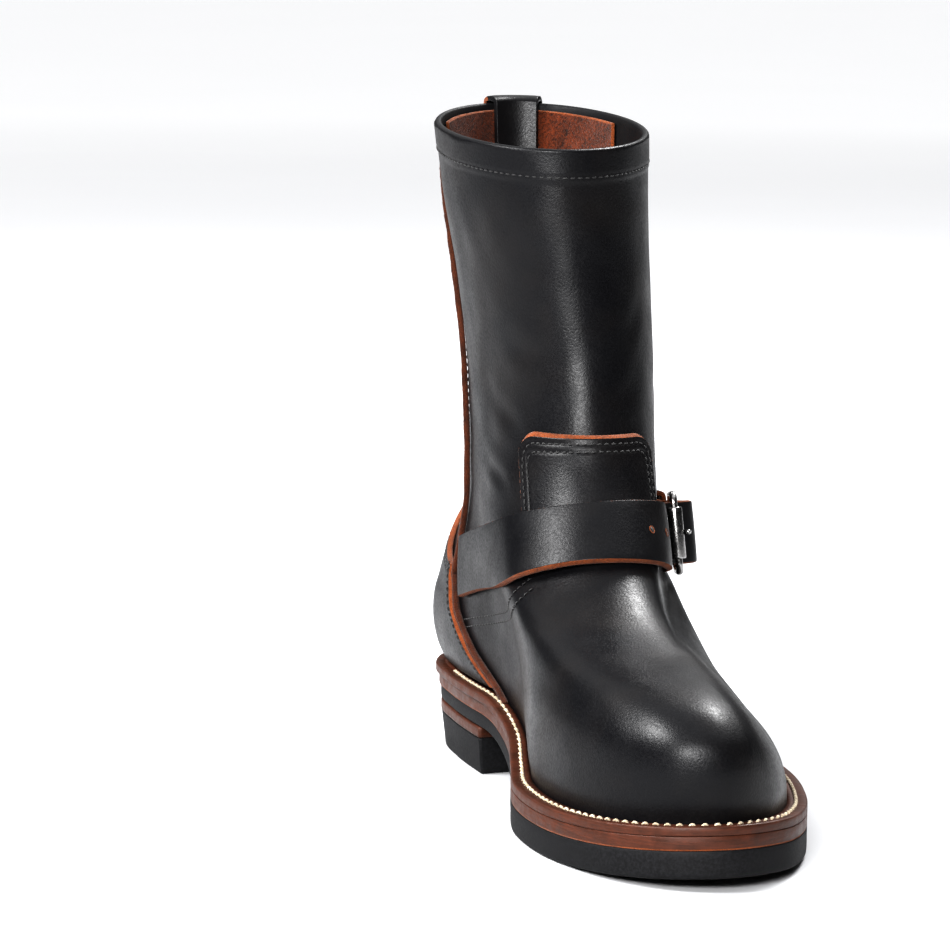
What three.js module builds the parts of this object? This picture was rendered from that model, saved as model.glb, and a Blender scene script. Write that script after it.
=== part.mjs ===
// Left engineer boot, standing unbent on its sole, in millimetres.
// +Z is up, the toe points to -Y and the outer side of the foot is +X.
// The origin is on the floor under the middle of the whole boot.
// "along" runs forward from the heel's back, "across" runs from the inner to the outer side.
import * as THREE from 'three';

// Driving sizes
const SOLE_LENGTH = 302;
const BALL_WIDTH = 110;
const SHAFT_HEIGHT = 215;
const CLEARANCE = 0.3;
const TRIM_GAP = 0.8;
const WALL = 2.4;

// Bottom
const HEEL_LENGTH = 92;
const HEEL_BLOCK_HEIGHT = 14.5;
const HEEL_LIFT_THICKNESS = 4;
const HEEL_TAPER = 1.8;
const HEEL_SETBACK = 0.6;
const HEEL_BREAST_HOLLOW = 3;
const OUTSOLE_HEEL_THICKNESS = 6;
const OUTSOLE_FORE_THICKNESS = 10;
const OUTSOLE_CHAMFER = 0.8;
const MIDSOLE_THICKNESS = 4.7;
const WELT_THICKNESS = 3.4;
const WELT_HEEL_FLARE = 2.2;
const MIDSOLE_HEEL_FLARE = 0.8;
const LAYER_EDGE_ROUND = 0.6;
const TOE_SPRING = 5;
const FLAT_START = 0.6;
const FLAT_END = 0.72;
const FEATHER_INSET_HEEL = 4.6;
const FEATHER_INSET_FORE = 7.6;
const INSOLE_THICKNESS = 3.5;

// Upper trim
const GUARD_THICKNESS = 2;
const COUNTER_THICKNESS = 1.8;
const PIPING_WIDTH = 3.9;
const PIPING_HEIGHT = 2.6;
const STRAP_THICKNESS = 2.4;
const TAB_WIDTH = 23;
const TAB_THICKNESS = 2;
const TAB_DROP_OUTSIDE = 24;
const TAB_DROP_INSIDE = 30;
const FACING_THICKNESS = 1.2;
const FACING_DROP = 46;
const FACING_TOP_MARGIN = 3;

// Buckle
const BUCKLE_LENGTH = 24;
const BUCKLE_HEIGHT = 32;
const BUCKLE_WIRE = 3.2;
const ROLLER_WALL = 1;
const PRONG_DIAMETER = 2.4;
const KEEPER_WIDTH = 9;
const KEEPER_THICKNESS = 1.8;

// Mesh density
const RING_STEPS = 52;
const CHART_STEPS = 156;
const CHART_LEVELS = 96;
const HEEL_STEPS = 14;
const BREAST_STEPS = 6;
const BAR_SIDES = 8;

const BLACK_LEATHER = { color: 0x17161a, roughness: 0.42, metalness: 0 };
const BLACK_RUBBER = { color: 0x232326, roughness: 0.75, metalness: 0 };
const BROWN_LEATHER = { color: 0x5d3420, roughness: 0.6, metalness: 0 };
const RAW_EDGE = { color: 0x8a4420, roughness: 0.85, metalness: 0 };
const SUEDE = { color: 0x8b4526, roughness: 0.95, metalness: 0 };
const TAN_LEATHER = { color: 0xa9805a, roughness: 0.7, metalness: 0 };
const NICKEL = { color: 0xb9babd, roughness: 0.25, metalness: 1 };

// Outline of the sole, back point first, then the outer side, the toe and the inner side.
// along is a share of SOLE_LENGTH and across a share of BALL_WIDTH.
const OUTLINE = [
  { along: 0, across: 0 },
  { along: 0.022, across: 0.175 },
  { along: 0.085, across: 0.288 },
  { along: 0.18, across: 0.322 },
  { along: 0.28, across: 0.338 },
  { along: 0.37, across: 0.373 },
  { along: 0.47, across: 0.442 },
  { along: 0.57, across: 0.49 },
  { along: 0.68, across: 0.464 },
  { along: 0.79, across: 0.385 },
  { along: 0.88, across: 0.285 },
  { along: 0.955, across: 0.149 },
  { along: 0.996, across: -0.022 },
  { along: 1, across: -0.132 },
  { along: 0.975, across: -0.286 },
  { along: 0.915, across: -0.409 },
  { along: 0.83, across: -0.485 },
  { along: 0.74, across: -0.513 },
  { along: 0.64, across: -0.494 },
  { along: 0.545, across: -0.42 },
  { along: 0.455, across: -0.346 },
  { along: 0.37, across: -0.322 },
  { along: 0.28, across: -0.33 },
  { along: 0.18, across: -0.322 },
  { along: 0.085, across: -0.285 },
  { along: 0.022, across: -0.175 },
];

// Sections of the upper from the feather line to the collar, each a closed ring that leans with the last.
// front and back are the ring's ends as shares of the feather line's length, frontRise and backRise their
// heights over the welt as shares of SHAFT_HEIGHT, frontAcross and backAcross their places as shares of
// BALL_WIDTH. stand is 1 over the welt, outer and inner scale the half widths, slope slims the outer side
// of the vamp, seat fills the heel, round is the oval's exponent, print the share of the sole's outline
// in the ring, follow how far the ring follows the sole's curve and turn its twist in degrees.
const SECTION_COLUMNS = [
  'front', 'frontRise', 'frontAcross', 'back', 'backRise', 'backAcross', 'stand',
  'outer', 'inner', 'slope', 'seat', 'round', 'print', 'follow', 'turn',
];
const SECTIONS = [
  [1.0000, 0.0000, -0.1250, 0.0000, 0.0000, 0.0000, 0, 1.0000, 1.000, 0.000, 0.00, 2.30, 1.00, 1.00, 0],
  [1.0000, 0.0000, -0.1250, 0.0000, 0.0000, 0.0000, 1, 1.0000, 1.000, 0.000, 0.00, 2.30, 1.00, 1.00, 0],
  [1.0075, 0.0390, -0.1250, -0.0086, 0.0390, 0.0000, 1, 0.9610, 1.030, 0.000, 0.08, 2.30, 1.00, 1.00, 0],
  [1.0085, 0.0870, -0.1300, -0.0128, 0.0790, 0.0000, 1, 0.9187, 1.040, 0.060, 0.13, 2.40, 0.95, 1.00, 0],
  [0.9969, 0.1314, -0.1350, -0.0128, 0.1210, 0.0000, 1, 0.9093, 1.030, 0.253, 0.15, 2.40, 0.85, 0.90, 0],
  [0.9637, 0.1725, -0.1301, -0.0112, 0.1590, 0.0000, 1, 0.9727, 1.010, 0.399, 0.14, 2.30, 0.65, 0.80, 0],
  [0.9143, 0.1995, -0.1277, -0.0075, 0.1960, 0.0000, 1, 1.0363, 1.000, 0.503, 0.12, 2.20, 0.50, 0.65, 0],
  [0.8486, 0.2176, -0.1233, -0.0023, 0.2330, 0.0000, 1, 1.0881, 0.990, 0.533, 0.09, 2.10, 0.38, 0.50, 0],
  [0.7705, 0.2358, -0.1151, 0.0029, 0.2730, 0.0000, 1, 1.0893, 0.970, 0.516, 0.05, 2.05, 0.28, 0.35, 0],
  [0.6859, 0.2665, -0.0962, 0.0112, 0.3170, 0.0000, 1, 1.0633, 0.950, 0.403, 0.02, 2.00, 0.20, 0.20, 0],
  [0.6061, 0.3191, -0.0787, 0.0216, 0.3670, 0.0000, 1, 1.0599, 0.930, 0.253, 0.00, 2.00, 0.12, 0.10, 0],
  [0.5368, 0.3970, -0.0595, 0.0300, 0.4290, 0.0000, 1, 1.0624, 0.920, 0.103, 0.00, 2.00, 0.05, 0.00, 0],
  [0.4841, 0.4964, -0.0418, 0.0331, 0.5110, -0.0050, 1, 1.0473, 0.920, 0.020, 0.00, 2.00, 0.00, 0.00, -1],
  [0.4551, 0.6210, -0.0300, 0.0279, 0.6160, -0.0150, 1, 1.0763, 0.950, 0.000, 0.00, 2.00, 0.00, 0.00, -3],
  [0.4385, 0.7510, -0.0400, 0.0122, 0.7460, -0.0300, 1, 1.1401, 1.020, 0.000, 0.00, 2.00, 0.00, 0.00, -5],
  [0.4291, 0.8810, -0.0550, -0.0075, 0.8810, -0.0450, 1, 1.1947, 1.110, 0.000, 0.00, 2.00, 0.00, 0.00, -7],
  [0.4239, 0.9960, -0.0600, -0.0221, 1.0160, -0.0500, 1, 1.2295, 1.180, 0.000, 0.00, 2.00, 0.00, 0.00, -8],
].map((row) => Object.fromEntries(row.map((value, column) => [SECTION_COLUMNS[column], value])));
const OVAL_HALF_WIDTH = 0.3036;

// A share that rises smoothly from 0 at the first value to 1 at the second
function smooth(from, to, value) {
  const share = THREE.MathUtils.clamp((value - from) / (to - from), 0, 1);
  return share * share * (3 - 2 * share);
}

function mix(a, b, share) {
  return a + (b - a) * share;
}

// Heights of the bottom's layers at a place along the sole
const HEEL_HEIGHT = HEEL_BLOCK_HEIGHT + HEEL_LIFT_THICKNESS + CLEARANCE;

function waist(along) {
  return smooth(HEEL_LENGTH, FLAT_START * SOLE_LENGTH, along);
}

function outsoleBottom(along) {
  const toe = Math.max(0, (along / SOLE_LENGTH - FLAT_END) / (1 - FLAT_END));
  return (HEEL_HEIGHT + CLEARANCE) * (1 - waist(along)) + TOE_SPRING * toe * toe;
}

function outsoleTop(along) {
  return outsoleBottom(along) + mix(OUTSOLE_HEEL_THICKNESS, OUTSOLE_FORE_THICKNESS, waist(along));
}

function midsoleTop(along) {
  return outsoleTop(along) + CLEARANCE + MIDSOLE_THICKNESS;
}

function weltTop(along) {
  return midsoleTop(along) + CLEARANCE + WELT_THICKNESS;
}

// The upper stands on the midsole
function featherHeight(along) {
  return midsoleTop(along) + CLEARANCE;
}

function featherInset(along) {
  return mix(FEATHER_INSET_HEEL, FEATHER_INSET_FORE, smooth(HEEL_LENGTH, 0.65 * SOLE_LENGTH, along));
}

// Evenly spaced points along an open path of [along, across] pairs, both ends included
function spacedPath(path, count) {
  const reach = [0];
  for (let i = 1; i < path.length; i += 1) {
    reach.push(reach[i - 1] + Math.hypot(path[i][0] - path[i - 1][0], path[i][1] - path[i - 1][1]));
  }
  const points = [];
  let at = 1;
  for (let k = 0; k <= count; k += 1) {
    const goal = (reach[reach.length - 1] * k) / count;
    while (at < path.length - 1 && reach[at] < goal) at += 1;
    const share = (goal - reach[at - 1]) / (reach[at] - reach[at - 1]);
    points.push([mix(path[at - 1][0], path[at][0], share), mix(path[at - 1][1], path[at][1], share)]);
  }
  return points;
}

// A closed ring of points: the outer side from back to front, then the inner side from front to back
function twoSides(ring, count) {
  const half = ring.length / 2;
  const outer = spacedPath(ring.slice(0, half + 1), count / 2);
  const inner = spacedPath([...ring.slice(half), ring[0]], count / 2);
  return [...outer.slice(0, -1), ...inner.slice(0, -1)];
}

// The sole's outline as a smooth closed curve, moved inwards by inset(along)
const OUTLINE_STEPS = OUTLINE.length * 24;

function outline(inset) {
  const controls = OUTLINE.map((p) => new THREE.Vector3(p.along * SOLE_LENGTH, p.across * BALL_WIDTH, 0));
  const curve = new THREE.CatmullRomCurve3(controls, true, 'centripetal');
  const points = curve.getPoints(OUTLINE_STEPS).slice(0, OUTLINE_STEPS);
  return points.map((point, i) => {
    const before = points[(i + OUTLINE_STEPS - 1) % OUTLINE_STEPS];
    const after = points[(i + 1) % OUTLINE_STEPS];
    const run = new THREE.Vector3().subVectors(after, before).normalize();
    const move = inset(point.x);
    return [point.x + run.y * move, point.y - run.x * move];
  });
}

// From along, across and height to the boot's own frame
function place(along, across, height) {
  return new THREE.Vector3(across, SOLE_LENGTH / 2 - along, height);
}

// A closed body from a list of triangles over a list of points, turned so that its faces point out
function body(points, triangles) {
  let volume = 0;
  for (const [a, b, c] of triangles) {
    volume += points[a].dot(new THREE.Vector3().crossVectors(points[b], points[c]));
  }
  const faces = volume > 0 ? triangles : triangles.map(([a, b, c]) => [a, c, b]);
  const geometry = new THREE.BufferGeometry().setFromPoints(points);
  geometry.setIndex(faces.flat());
  geometry.computeVertexNormals();
  return geometry;
}

// Quads between neighbouring rings, each ring closed on itself
function ringWalls(rows, columns, closed) {
  const triangles = [];
  for (let j = 0; j < (closed ? rows : rows - 1); j += 1) {
    for (let i = 0; i < columns; i += 1) {
      const a = j * columns + i;
      const b = j * columns + ((i + 1) % columns);
      const c = ((j + 1) % rows) * columns + ((i + 1) % columns);
      const d = ((j + 1) % rows) * columns + i;
      triangles.push([a, b, c], [a, c, d]);
    }
  }
  return triangles;
}

// A ring-shaped body: every ring closed, and the last ring joined to the first
function hoop(rings) {
  return body(rings.flat(), ringWalls(rings.length, rings[0].length, true));
}

// Rungs across a ring that runs out along one side and back along the other
function rungs(offset, count) {
  const triangles = [[offset, offset + 1, offset + count - 1]];
  for (let i = 1; i < count / 2 - 1; i += 1) {
    const a = offset + i;
    const b = offset + count - i;
    triangles.push([a, a + 1, b - 1], [a, b - 1, b]);
  }
  triangles.push([offset + count / 2 - 1, offset + count / 2, offset + count / 2 + 1]);
  return triangles;
}

// A plate through rings listed from its underside to its top, closed by rungs at both ends
function plate(rings) {
  const count = rings[0].length;
  const under = rungs(0, count).map(([a, b, c]) => [a, c, b]);
  const over = rungs((rings.length - 1) * count, count);
  return body(rings.flat(), [...under, ...ringWalls(rings.length, count, false), ...over]);
}

// A slab over a grid of places, between an under and an over grid of points
function slab(under, over) {
  const rows = under.length;
  const columns = under[0].length;
  const points = [...under.flat(), ...over.flat()];
  const lift = rows * columns;
  const triangles = [];
  for (let j = 0; j < rows - 1; j += 1) {
    for (let i = 0; i < columns - 1; i += 1) {
      const a = j * columns + i;
      const [b, c, d] = [a + 1, a + columns + 1, a + columns];
      triangles.push([a, c, b], [a, d, c]);
      triangles.push([a + lift, b + lift, c + lift], [a + lift, c + lift, d + lift]);
    }
  }
  const rim = [];
  for (let i = 0; i < columns - 1; i += 1) rim.push(i);
  for (let j = 0; j < rows - 1; j += 1) rim.push(j * columns + columns - 1);
  for (let i = columns - 1; i > 0; i -= 1) rim.push((rows - 1) * columns + i);
  for (let j = rows - 1; j > 0; j -= 1) rim.push(j * columns);
  rim.forEach((a, k) => {
    const b = rim[(k + 1) % rim.length];
    triangles.push([a, b, b + lift], [a, b + lift, a + lift]);
  });
  return body(points, triangles);
}

function mesh(name, geometry, finish) {
  const piece = new THREE.Mesh(geometry, new THREE.MeshStandardMaterial(finish));
  piece.name = name;
  return piece;
}

// Bottom: outsole, midsole, welt, heel and insole
function soleRing(inset, height) {
  return twoSides(outline(inset), RING_STEPS).map(([along, across]) => place(along, across, height(along)));
}

function heelShare(along) {
  return 1 - smooth(HEEL_LENGTH, FLAT_START * SOLE_LENGTH, along);
}

function layer(name, inset, bottom, top, finish, edge) {
  const rings = [
    soleRing((along) => inset(along) + edge, bottom),
    soleRing(inset, (along) => bottom(along) + edge),
    soleRing(inset, (along) => top(along) - edge),
    soleRing((along) => inset(along) + edge, top),
  ];
  return mesh(name, plate(rings), finish);
}

function makeOutsole() {
  return layer('outsole', () => 0, outsoleBottom, outsoleTop, BLACK_RUBBER, OUTSOLE_CHAMFER);
}

function midsoleInset(along) {
  return -MIDSOLE_HEEL_FLARE * heelShare(along);
}

function makeMidsole() {
  const bottom = (along) => outsoleTop(along) + CLEARANCE;
  return layer('midsole', midsoleInset, bottom, midsoleTop, BROWN_LEATHER, LAYER_EDGE_ROUND);
}

function makeWelt() {
  const outer = (along) => -WELT_HEEL_FLARE * heelShare(along);
  const inner = (along) => featherInset(along) - CLEARANCE;
  const bottom = (along) => midsoleTop(along) + CLEARANCE;
  const rings = [
    soleRing((along) => outer(along) + LAYER_EDGE_ROUND, bottom),
    soleRing(outer, (along) => bottom(along) + LAYER_EDGE_ROUND),
    soleRing(outer, (along) => weltTop(along) - LAYER_EDGE_ROUND),
    soleRing((along) => outer(along) + LAYER_EDGE_ROUND, weltTop),
    soleRing(inner, weltTop),
    soleRing(inner, bottom),
  ];
  return mesh('welt', hoop(rings), BROWN_LEATHER);
}

// The heel's plan: the back of the sole's outline, closed by a hollow breast line
function heelPlan(inset) {
  const ring = outline(() => inset);
  const limit = HEEL_LENGTH - inset;
  const half = ring.length / 2;
  const outer = spacedPath(ring.slice(0, half).filter(([along]) => along < limit), HEEL_STEPS);
  const inner = spacedPath([...ring.slice(half).filter(([along]) => along < limit), ring[0]], HEEL_STEPS);
  const breast = [];
  for (let k = 0; k <= BREAST_STEPS; k += 1) {
    const bow = (2 * k) / BREAST_STEPS - 1;
    const across = mix(outer[HEEL_STEPS][1], inner[0][1], k / BREAST_STEPS);
    breast.push([limit - HEEL_BREAST_HOLLOW * (1 - bow * bow), across]);
  }
  return [...outer.slice(0, -1), ...breast, ...inner.slice(1, -1)];
}

// A flat heel layer between two heights, its plan moved in by its own inset at each
function heelLayer(name, low, high, finish) {
  const [lowPlan, highPlan] = [heelPlan(low.inset), heelPlan(high.inset)];
  const count = lowPlan.length;
  const points = [
    ...lowPlan.map(([along, across]) => place(along, across, low.height)),
    ...highPlan.map(([along, across]) => place(along, across, high.height)),
  ];
  const flat = lowPlan.map(([along, across]) => new THREE.Vector2(along, across));
  const facing = Math.sign(THREE.ShapeUtils.area(flat));
  const caps = THREE.ShapeUtils.triangulateShape(flat, []).map(([a, b, c]) => (
    Math.sign(THREE.ShapeUtils.area([flat[a], flat[b], flat[c]])) === facing ? [a, b, c] : [a, c, b]
  ));
  const under = caps.map(([a, b, c]) => [a, c, b]);
  const over = caps.map(([a, b, c]) => [a + count, b + count, c + count]);
  return mesh(name, body(points, [...under, ...ringWalls(2, count, false), ...over]), finish);
}

function makeHeelBlock() {
  const low = { inset: HEEL_SETBACK + HEEL_TAPER, height: 0 };
  const high = { inset: HEEL_SETBACK, height: HEEL_BLOCK_HEIGHT };
  return heelLayer('heel_block', low, high, BLACK_RUBBER);
}

function makeHeelLift() {
  const low = { inset: HEEL_SETBACK / 2, height: HEEL_BLOCK_HEIGHT + CLEARANCE };
  const high = { inset: HEEL_SETBACK / 2, height: HEEL_HEIGHT };
  return heelLayer('heel_lift', low, high, BROWN_LEATHER);
}

function makeInsole() {
  const inset = (along) => featherInset(along) + WALL + 2 * CLEARANCE;
  const bottom = (along) => midsoleTop(along) + CLEARANCE;
  const top = (along) => bottom(along) + INSOLE_THICKNESS;
  return mesh('insole', plate([soleRing(inset, bottom), soleRing(inset, top)]), TAN_LEATHER);
}

// Upper: one ring for each level, and a chart of the whole surface for what lies on it
const WELT_STAND = CLEARANCE + WELT_THICKNESS + LAYER_EDGE_ROUND;
const FEATHER = outline(featherInset);
const FEATHER_BACK = Math.min(...FEATHER.map(([along]) => along));
const FEATHER_LENGTH = Math.max(...FEATHER.map(([along]) => along)) - FEATHER_BACK;

// The section at a level from 0 at the feather line to 1 at the collar, smooth through all the rows
function sectionAt(level) {
  const last = SECTIONS.length - 1;
  const at = Math.min(Math.floor(level * last), last - 1);
  const t = level * last - at;
  const rows = [-1, 0, 1, 2].map((step) => SECTIONS[THREE.MathUtils.clamp(at + step, 0, last)]);
  return Object.fromEntries(SECTION_COLUMNS.map((name) => {
    const [p0, p1, p2, p3] = rows.map((row) => row[name]);
    const bend = (2 * p0 - 5 * p1 + 4 * p2 - p3) * t * t + (3 * p1 - p0 - 3 * p2 + p3) * t * t * t;
    return [name, 0.5 * (2 * p1 + (p2 - p0) * t + bend)];
  }));
}

// A section's half width at a share of its length, on the outer or the inner side
function fullness(section, share, isOuter) {
  const side = isOuter ? section.outer * (1 - section.slope * smooth(0.3, 0.85, share)) : section.inner;
  return side * (1 + section.seat * (1 - smooth(0.15, 0.5, share)));
}

function upperRing(level, count) {
  const section = sectionAt(level);
  const back = FEATHER_BACK + section.back * FEATHER_LENGTH;
  const length = (section.front - section.back) * FEATHER_LENGTH;
  const footprint = FEATHER.map(([along, across]) => {
    const share = (along - FEATHER_BACK) / FEATHER_LENGTH;
    return [back + share * length, across * fullness(section, share, across > 0)];
  });
  const oval = FEATHER.map((_, i) => {
    const angle = (2 * Math.PI * i) / FEATHER.length;
    const power = 2 / section.round;
    const share = (1 - Math.sign(Math.cos(angle)) * Math.abs(Math.cos(angle)) ** power) / 2;
    const reach = Math.sign(Math.sin(angle)) * Math.abs(Math.sin(angle)) ** power;
    const middle = mix(section.backAcross, section.frontAcross, share) * BALL_WIDTH;
    const half = OVAL_HALF_WIDTH * BALL_WIDTH * fullness(section, share, reach > 0);
    return [back + share * length, middle + reach * half];
  });
  const [printed, round] = [twoSides(footprint, count), twoSides(oval, count)];
  const middle = [back + length / 2, ((section.backAcross + section.frontAcross) / 2) * BALL_WIDTH];
  const turn = THREE.MathUtils.degToRad(section.turn);
  return printed.map((point, i) => {
    const along = mix(round[i][0], point[0], section.print);
    const across = mix(round[i][1], point[1], section.print);
    const share = (along - back) / length;
    const chord = mix(featherHeight(back), featherHeight(back + length), share);
    const floor = mix(chord, featherHeight(along), section.follow) + section.stand * WELT_STAND;
    const height = floor + mix(section.backRise, section.frontRise, share) * SHAFT_HEIGHT;
    const [a, c] = [along - middle[0], across - middle[1]];
    const turned = [a * Math.cos(turn) - c * Math.sin(turn), a * Math.sin(turn) + c * Math.cos(turn)];
    return place(middle[0] + turned[0], middle[1] + turned[1], height);
  });
}

const CHART = [];
for (let j = 0; j <= CHART_LEVELS; j += 1) CHART.push(upperRing(j / CHART_LEVELS, CHART_STEPS));

// Outward directions of the upper at the chart's points
const CHART_NORMALS = CHART.map((ring, j) => ring.map((_, i) => {
  const before = ring[(i + CHART_STEPS - 1) % CHART_STEPS];
  const after = ring[(i + 1) % CHART_STEPS];
  const low = CHART[Math.max(j - 1, 0)][i];
  const high = CHART[Math.min(j + 1, CHART_LEVELS)][i];
  const round = new THREE.Vector3().subVectors(after, before);
  return round.cross(new THREE.Vector3().subVectors(high, low)).normalize();
}));
const OUTWARD = Math.sign(CHART_NORMALS[CHART_LEVELS][CHART_STEPS / 2].y) * -1;

// The chart read between its points
function readChart(chart, around, level) {
  const u = (((around % 1) + 1) % 1) * CHART_STEPS;
  const v = THREE.MathUtils.clamp(level, 0, 1) * CHART_LEVELS;
  const [i, j] = [Math.floor(u) % CHART_STEPS, Math.min(Math.floor(v), CHART_LEVELS - 1)];
  const [p, q] = [u - Math.floor(u), v - j];
  const next = (i + 1) % CHART_STEPS;
  const low = new THREE.Vector3().lerpVectors(chart[j][i], chart[j][next], p);
  const high = new THREE.Vector3().lerpVectors(chart[j + 1][i], chart[j + 1][next], p);
  return low.lerp(high, q);
}

// A point off the upper: around runs from 0 at the back over 0.25 outside and 0.5 in front to 1
function offUpper(around, level, lift) {
  const normal = readChart(CHART_NORMALS, around, level).normalize().multiplyScalar(OUTWARD * lift);
  return readChart(CHART, around, level).add(normal);
}

// The level at which the upper reaches a height, for a height as a share of SHAFT_HEIGHT over the heel seat
function levelAt(around, share) {
  const goal = featherHeight(0) + share * SHAFT_HEIGHT;
  let [low, high] = [0, 1];
  for (let k = 0; k < 24; k += 1) {
    const middle = (low + high) / 2;
    if (readChart(CHART, around, middle).z < goal) low = middle;
    else high = middle;
  }
  return (low + high) / 2;
}

// Levels of the solid's own rings, closest together over the foot and widest on the shaft
const LEVEL_STEPS = [
  { until: 42, step: 3 },
  { until: 78, step: 4 },
  { until: CHART_LEVELS, step: 6 },
];

function makeUpper() {
  const levels = [0, CHART_LEVELS / (SECTIONS.length - 1)];
  for (const { until, step } of LEVEL_STEPS) {
    while (levels[levels.length - 1] < until) levels.push(Math.min(levels[levels.length - 1] + step, until));
  }
  const stride = CHART_STEPS / RING_STEPS;
  const outer = levels.map((j) => CHART[j].filter((_, i) => i % stride === 0));
  const inner = levels.map((j) => outer[0].map((_, i) => {
    const point = offUpper((i * stride) / CHART_STEPS, j / CHART_LEVELS, -WALL);
    if (j === 0) point.z = featherHeight(SOLE_LENGTH / 2 - point.y);
    if (j === CHART_LEVELS) point.z = CHART[j][i * stride].z;
    return point;
  }));
  return mesh('upper', hoop([...outer, ...inner.reverse()]), BLACK_LEATHER);
}

// A closed body through open-ended rings, capped by fans
function tube(rings) {
  const count = rings[0].length;
  const end = (rings.length - 1) * count;
  const triangles = ringWalls(rings.length, count, false);
  for (let i = 1; i < count - 1; i += 1) {
    triangles.push([0, i + 1, i], [end, end + i, end + i + 1]);
  }
  return body(rings.flat(), triangles);
}

// Rows of a table read smoothly between its named columns, by the value of one of them
function readRows(rows, key, value) {
  let k = 1;
  while (k < rows.length - 1 && value > rows[k][key]) k += 1;
  const share = THREE.MathUtils.clamp((value - rows[k - 1][key]) / (rows[k][key] - rows[k - 1][key]), 0, 1);
  return Object.fromEntries(Object.keys(rows[k]).map((name) => (
    [name, mix(rows[k - 1][name], rows[k][name], share)])));
}

// A patch of leather on the upper: a grid of places with an under and an over lift
function patch(name, rows, columns, at, underLift, thickness, finish) {
  const grid = (extra) => Array.from({ length: rows + 1 }, (_, j) => (
    Array.from({ length: columns + 1 }, (__, i) => {
      const spot = at(i / columns, j / rows);
      return offUpper(spot.around, spot.level, underLift + extra);
    })
  ));
  return mesh(name, slab(grid(0), grid(thickness)), finish);
}

// Side seams: heights over the heel seat as shares of SHAFT_HEIGHT, and where each seam stands
const SEAM = [
  { height: 0.0, inner: 0.806, outer: 0.194 },
  { height: 0.04, inner: 0.826, outer: 0.176 },
  { height: 0.08, inner: 0.845, outer: 0.16 },
  { height: 0.14, inner: 0.866, outer: 0.14 },
  { height: 0.2, inner: 0.878, outer: 0.13 },
  { height: 0.27, inner: 0.868, outer: 0.136 },
  { height: 0.35, inner: 0.846, outer: 0.152 },
  { height: 0.45, inner: 0.829, outer: 0.168 },
  { height: 0.6, inner: 0.836, outer: 0.161 },
  { height: 0.8, inner: 0.853, outer: 0.145 },
  { height: 1.05, inner: 0.871, outer: 0.127 },
];
const SEAM_STEPS = 26;
const SEAM_LOW_LEVEL = 0.075;
const SEAM_HIGH_LEVEL = 0.985;
const SEAM_BED = 0.4;

function seamAround(side, level) {
  let around = side === 'inner' ? 0.84 : 0.16;
  for (let k = 0; k < 4; k += 1) {
    const height = (readChart(CHART, around, level).z - featherHeight(0)) / SHAFT_HEIGHT;
    around = readRows(SEAM, 'height', height)[side];
  }
  return around;
}

// The raised raw edge that closes a side seam, a rounded bead carried up the upper
function makePiping(name, side) {
  const profile = [[-0.5, 0], [-0.5, 0.6], [-0.25, 1], [0.25, 1], [0.5, 0.6], [0.5, 0]];
  const centres = [];
  for (let k = 0; k <= SEAM_STEPS; k += 1) {
    const level = mix(SEAM_LOW_LEVEL, SEAM_HIGH_LEVEL, k / SEAM_STEPS);
    centres.push({ around: seamAround(side, level), level });
  }
  const rings = centres.map(({ around, level }, k) => {
    const before = centres[Math.max(k - 1, 0)];
    const after = centres[Math.min(k + 1, SEAM_STEPS)];
    const run = offUpper(after.around, after.level, 0).sub(offUpper(before.around, before.level, 0));
    const base = offUpper(around, level, SEAM_BED);
    const out = offUpper(around, level, SEAM_BED + 1).sub(base).normalize();
    const cross = new THREE.Vector3().crossVectors(out, run).normalize();
    return profile.map(([wide, high]) => (
      base.clone().addScaledVector(cross, wide * PIPING_WIDTH).addScaledVector(out, high * PIPING_HEIGHT)
    ));
  });
  return mesh(name, tube(rings), RAW_EDGE);
}

// Shares of the way around taken by a length along the ankle
const ANKLE_LEVEL = 66;
const ANKLE_GIRTH = CHART[ANKLE_LEVEL].reduce((sum, point, i, ring) => (
  sum + point.distanceTo(ring[(i + 1) % ring.length])), 0);
const PIPING_SHARE = (PIPING_WIDTH / 2 + 3 * CLEARANCE) / ANKLE_GIRTH;

// Heel counter: a second layer round the heel, from seam to seam
const COUNTER_COLUMNS = 28;
const COUNTER_ROWS = 8;
const COUNTER_SIDE_HEIGHT = 0.215;
const COUNTER_BACK_HEIGHT = 0.33;

function makeCounter() {
  const at = (wide, high) => {
    const bow = Math.sin(Math.PI * wide);
    const top = mix(COUNTER_SIDE_HEIGHT, COUNTER_BACK_HEIGHT, bow * bow);
    const guess = mix(-0.13, 0.13, wide);
    const level = mix(SEAM_LOW_LEVEL, levelAt(guess, top), high);
    const from = seamAround('inner', level) + PIPING_SHARE - 1;
    const to = seamAround('outer', level) - PIPING_SHARE;
    return { around: mix(from, to, wide), level };
  };
  return patch('heel_counter', COUNTER_ROWS, COUNTER_COLUMNS, at, TRIM_GAP, COUNTER_THICKNESS, BLACK_LEATHER);
}

// Edges of the ankle strap along its way round, as shares of SHAFT_HEIGHT over the heel seat
const STRAP_EDGES = [
  { around: 0.14, low: 0.232, high: 0.342 },
  { around: 0.21, low: 0.236, high: 0.346 },
  { around: 0.26, low: 0.241, high: 0.351 },
  { around: 0.3, low: 0.247, high: 0.356 },
  { around: 0.34, low: 0.254, high: 0.362 },
  { around: 0.38, low: 0.263, high: 0.37 },
  { around: 0.42, low: 0.275, high: 0.378 },
  { around: 0.46, low: 0.289, high: 0.385 },
  { around: 0.5, low: 0.294, high: 0.387 },
  { around: 0.54, low: 0.288, high: 0.38 },
  { around: 0.58, low: 0.273, high: 0.368 },
  { around: 0.64, low: 0.254, high: 0.349 },
  { around: 0.7, low: 0.238, high: 0.331 },
  { around: 0.757, low: 0.215, high: 0.313 },
  { around: 0.8, low: 0.198, high: 0.297 },
  { around: 0.857, low: 0.167, high: 0.272 },
];

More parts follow.
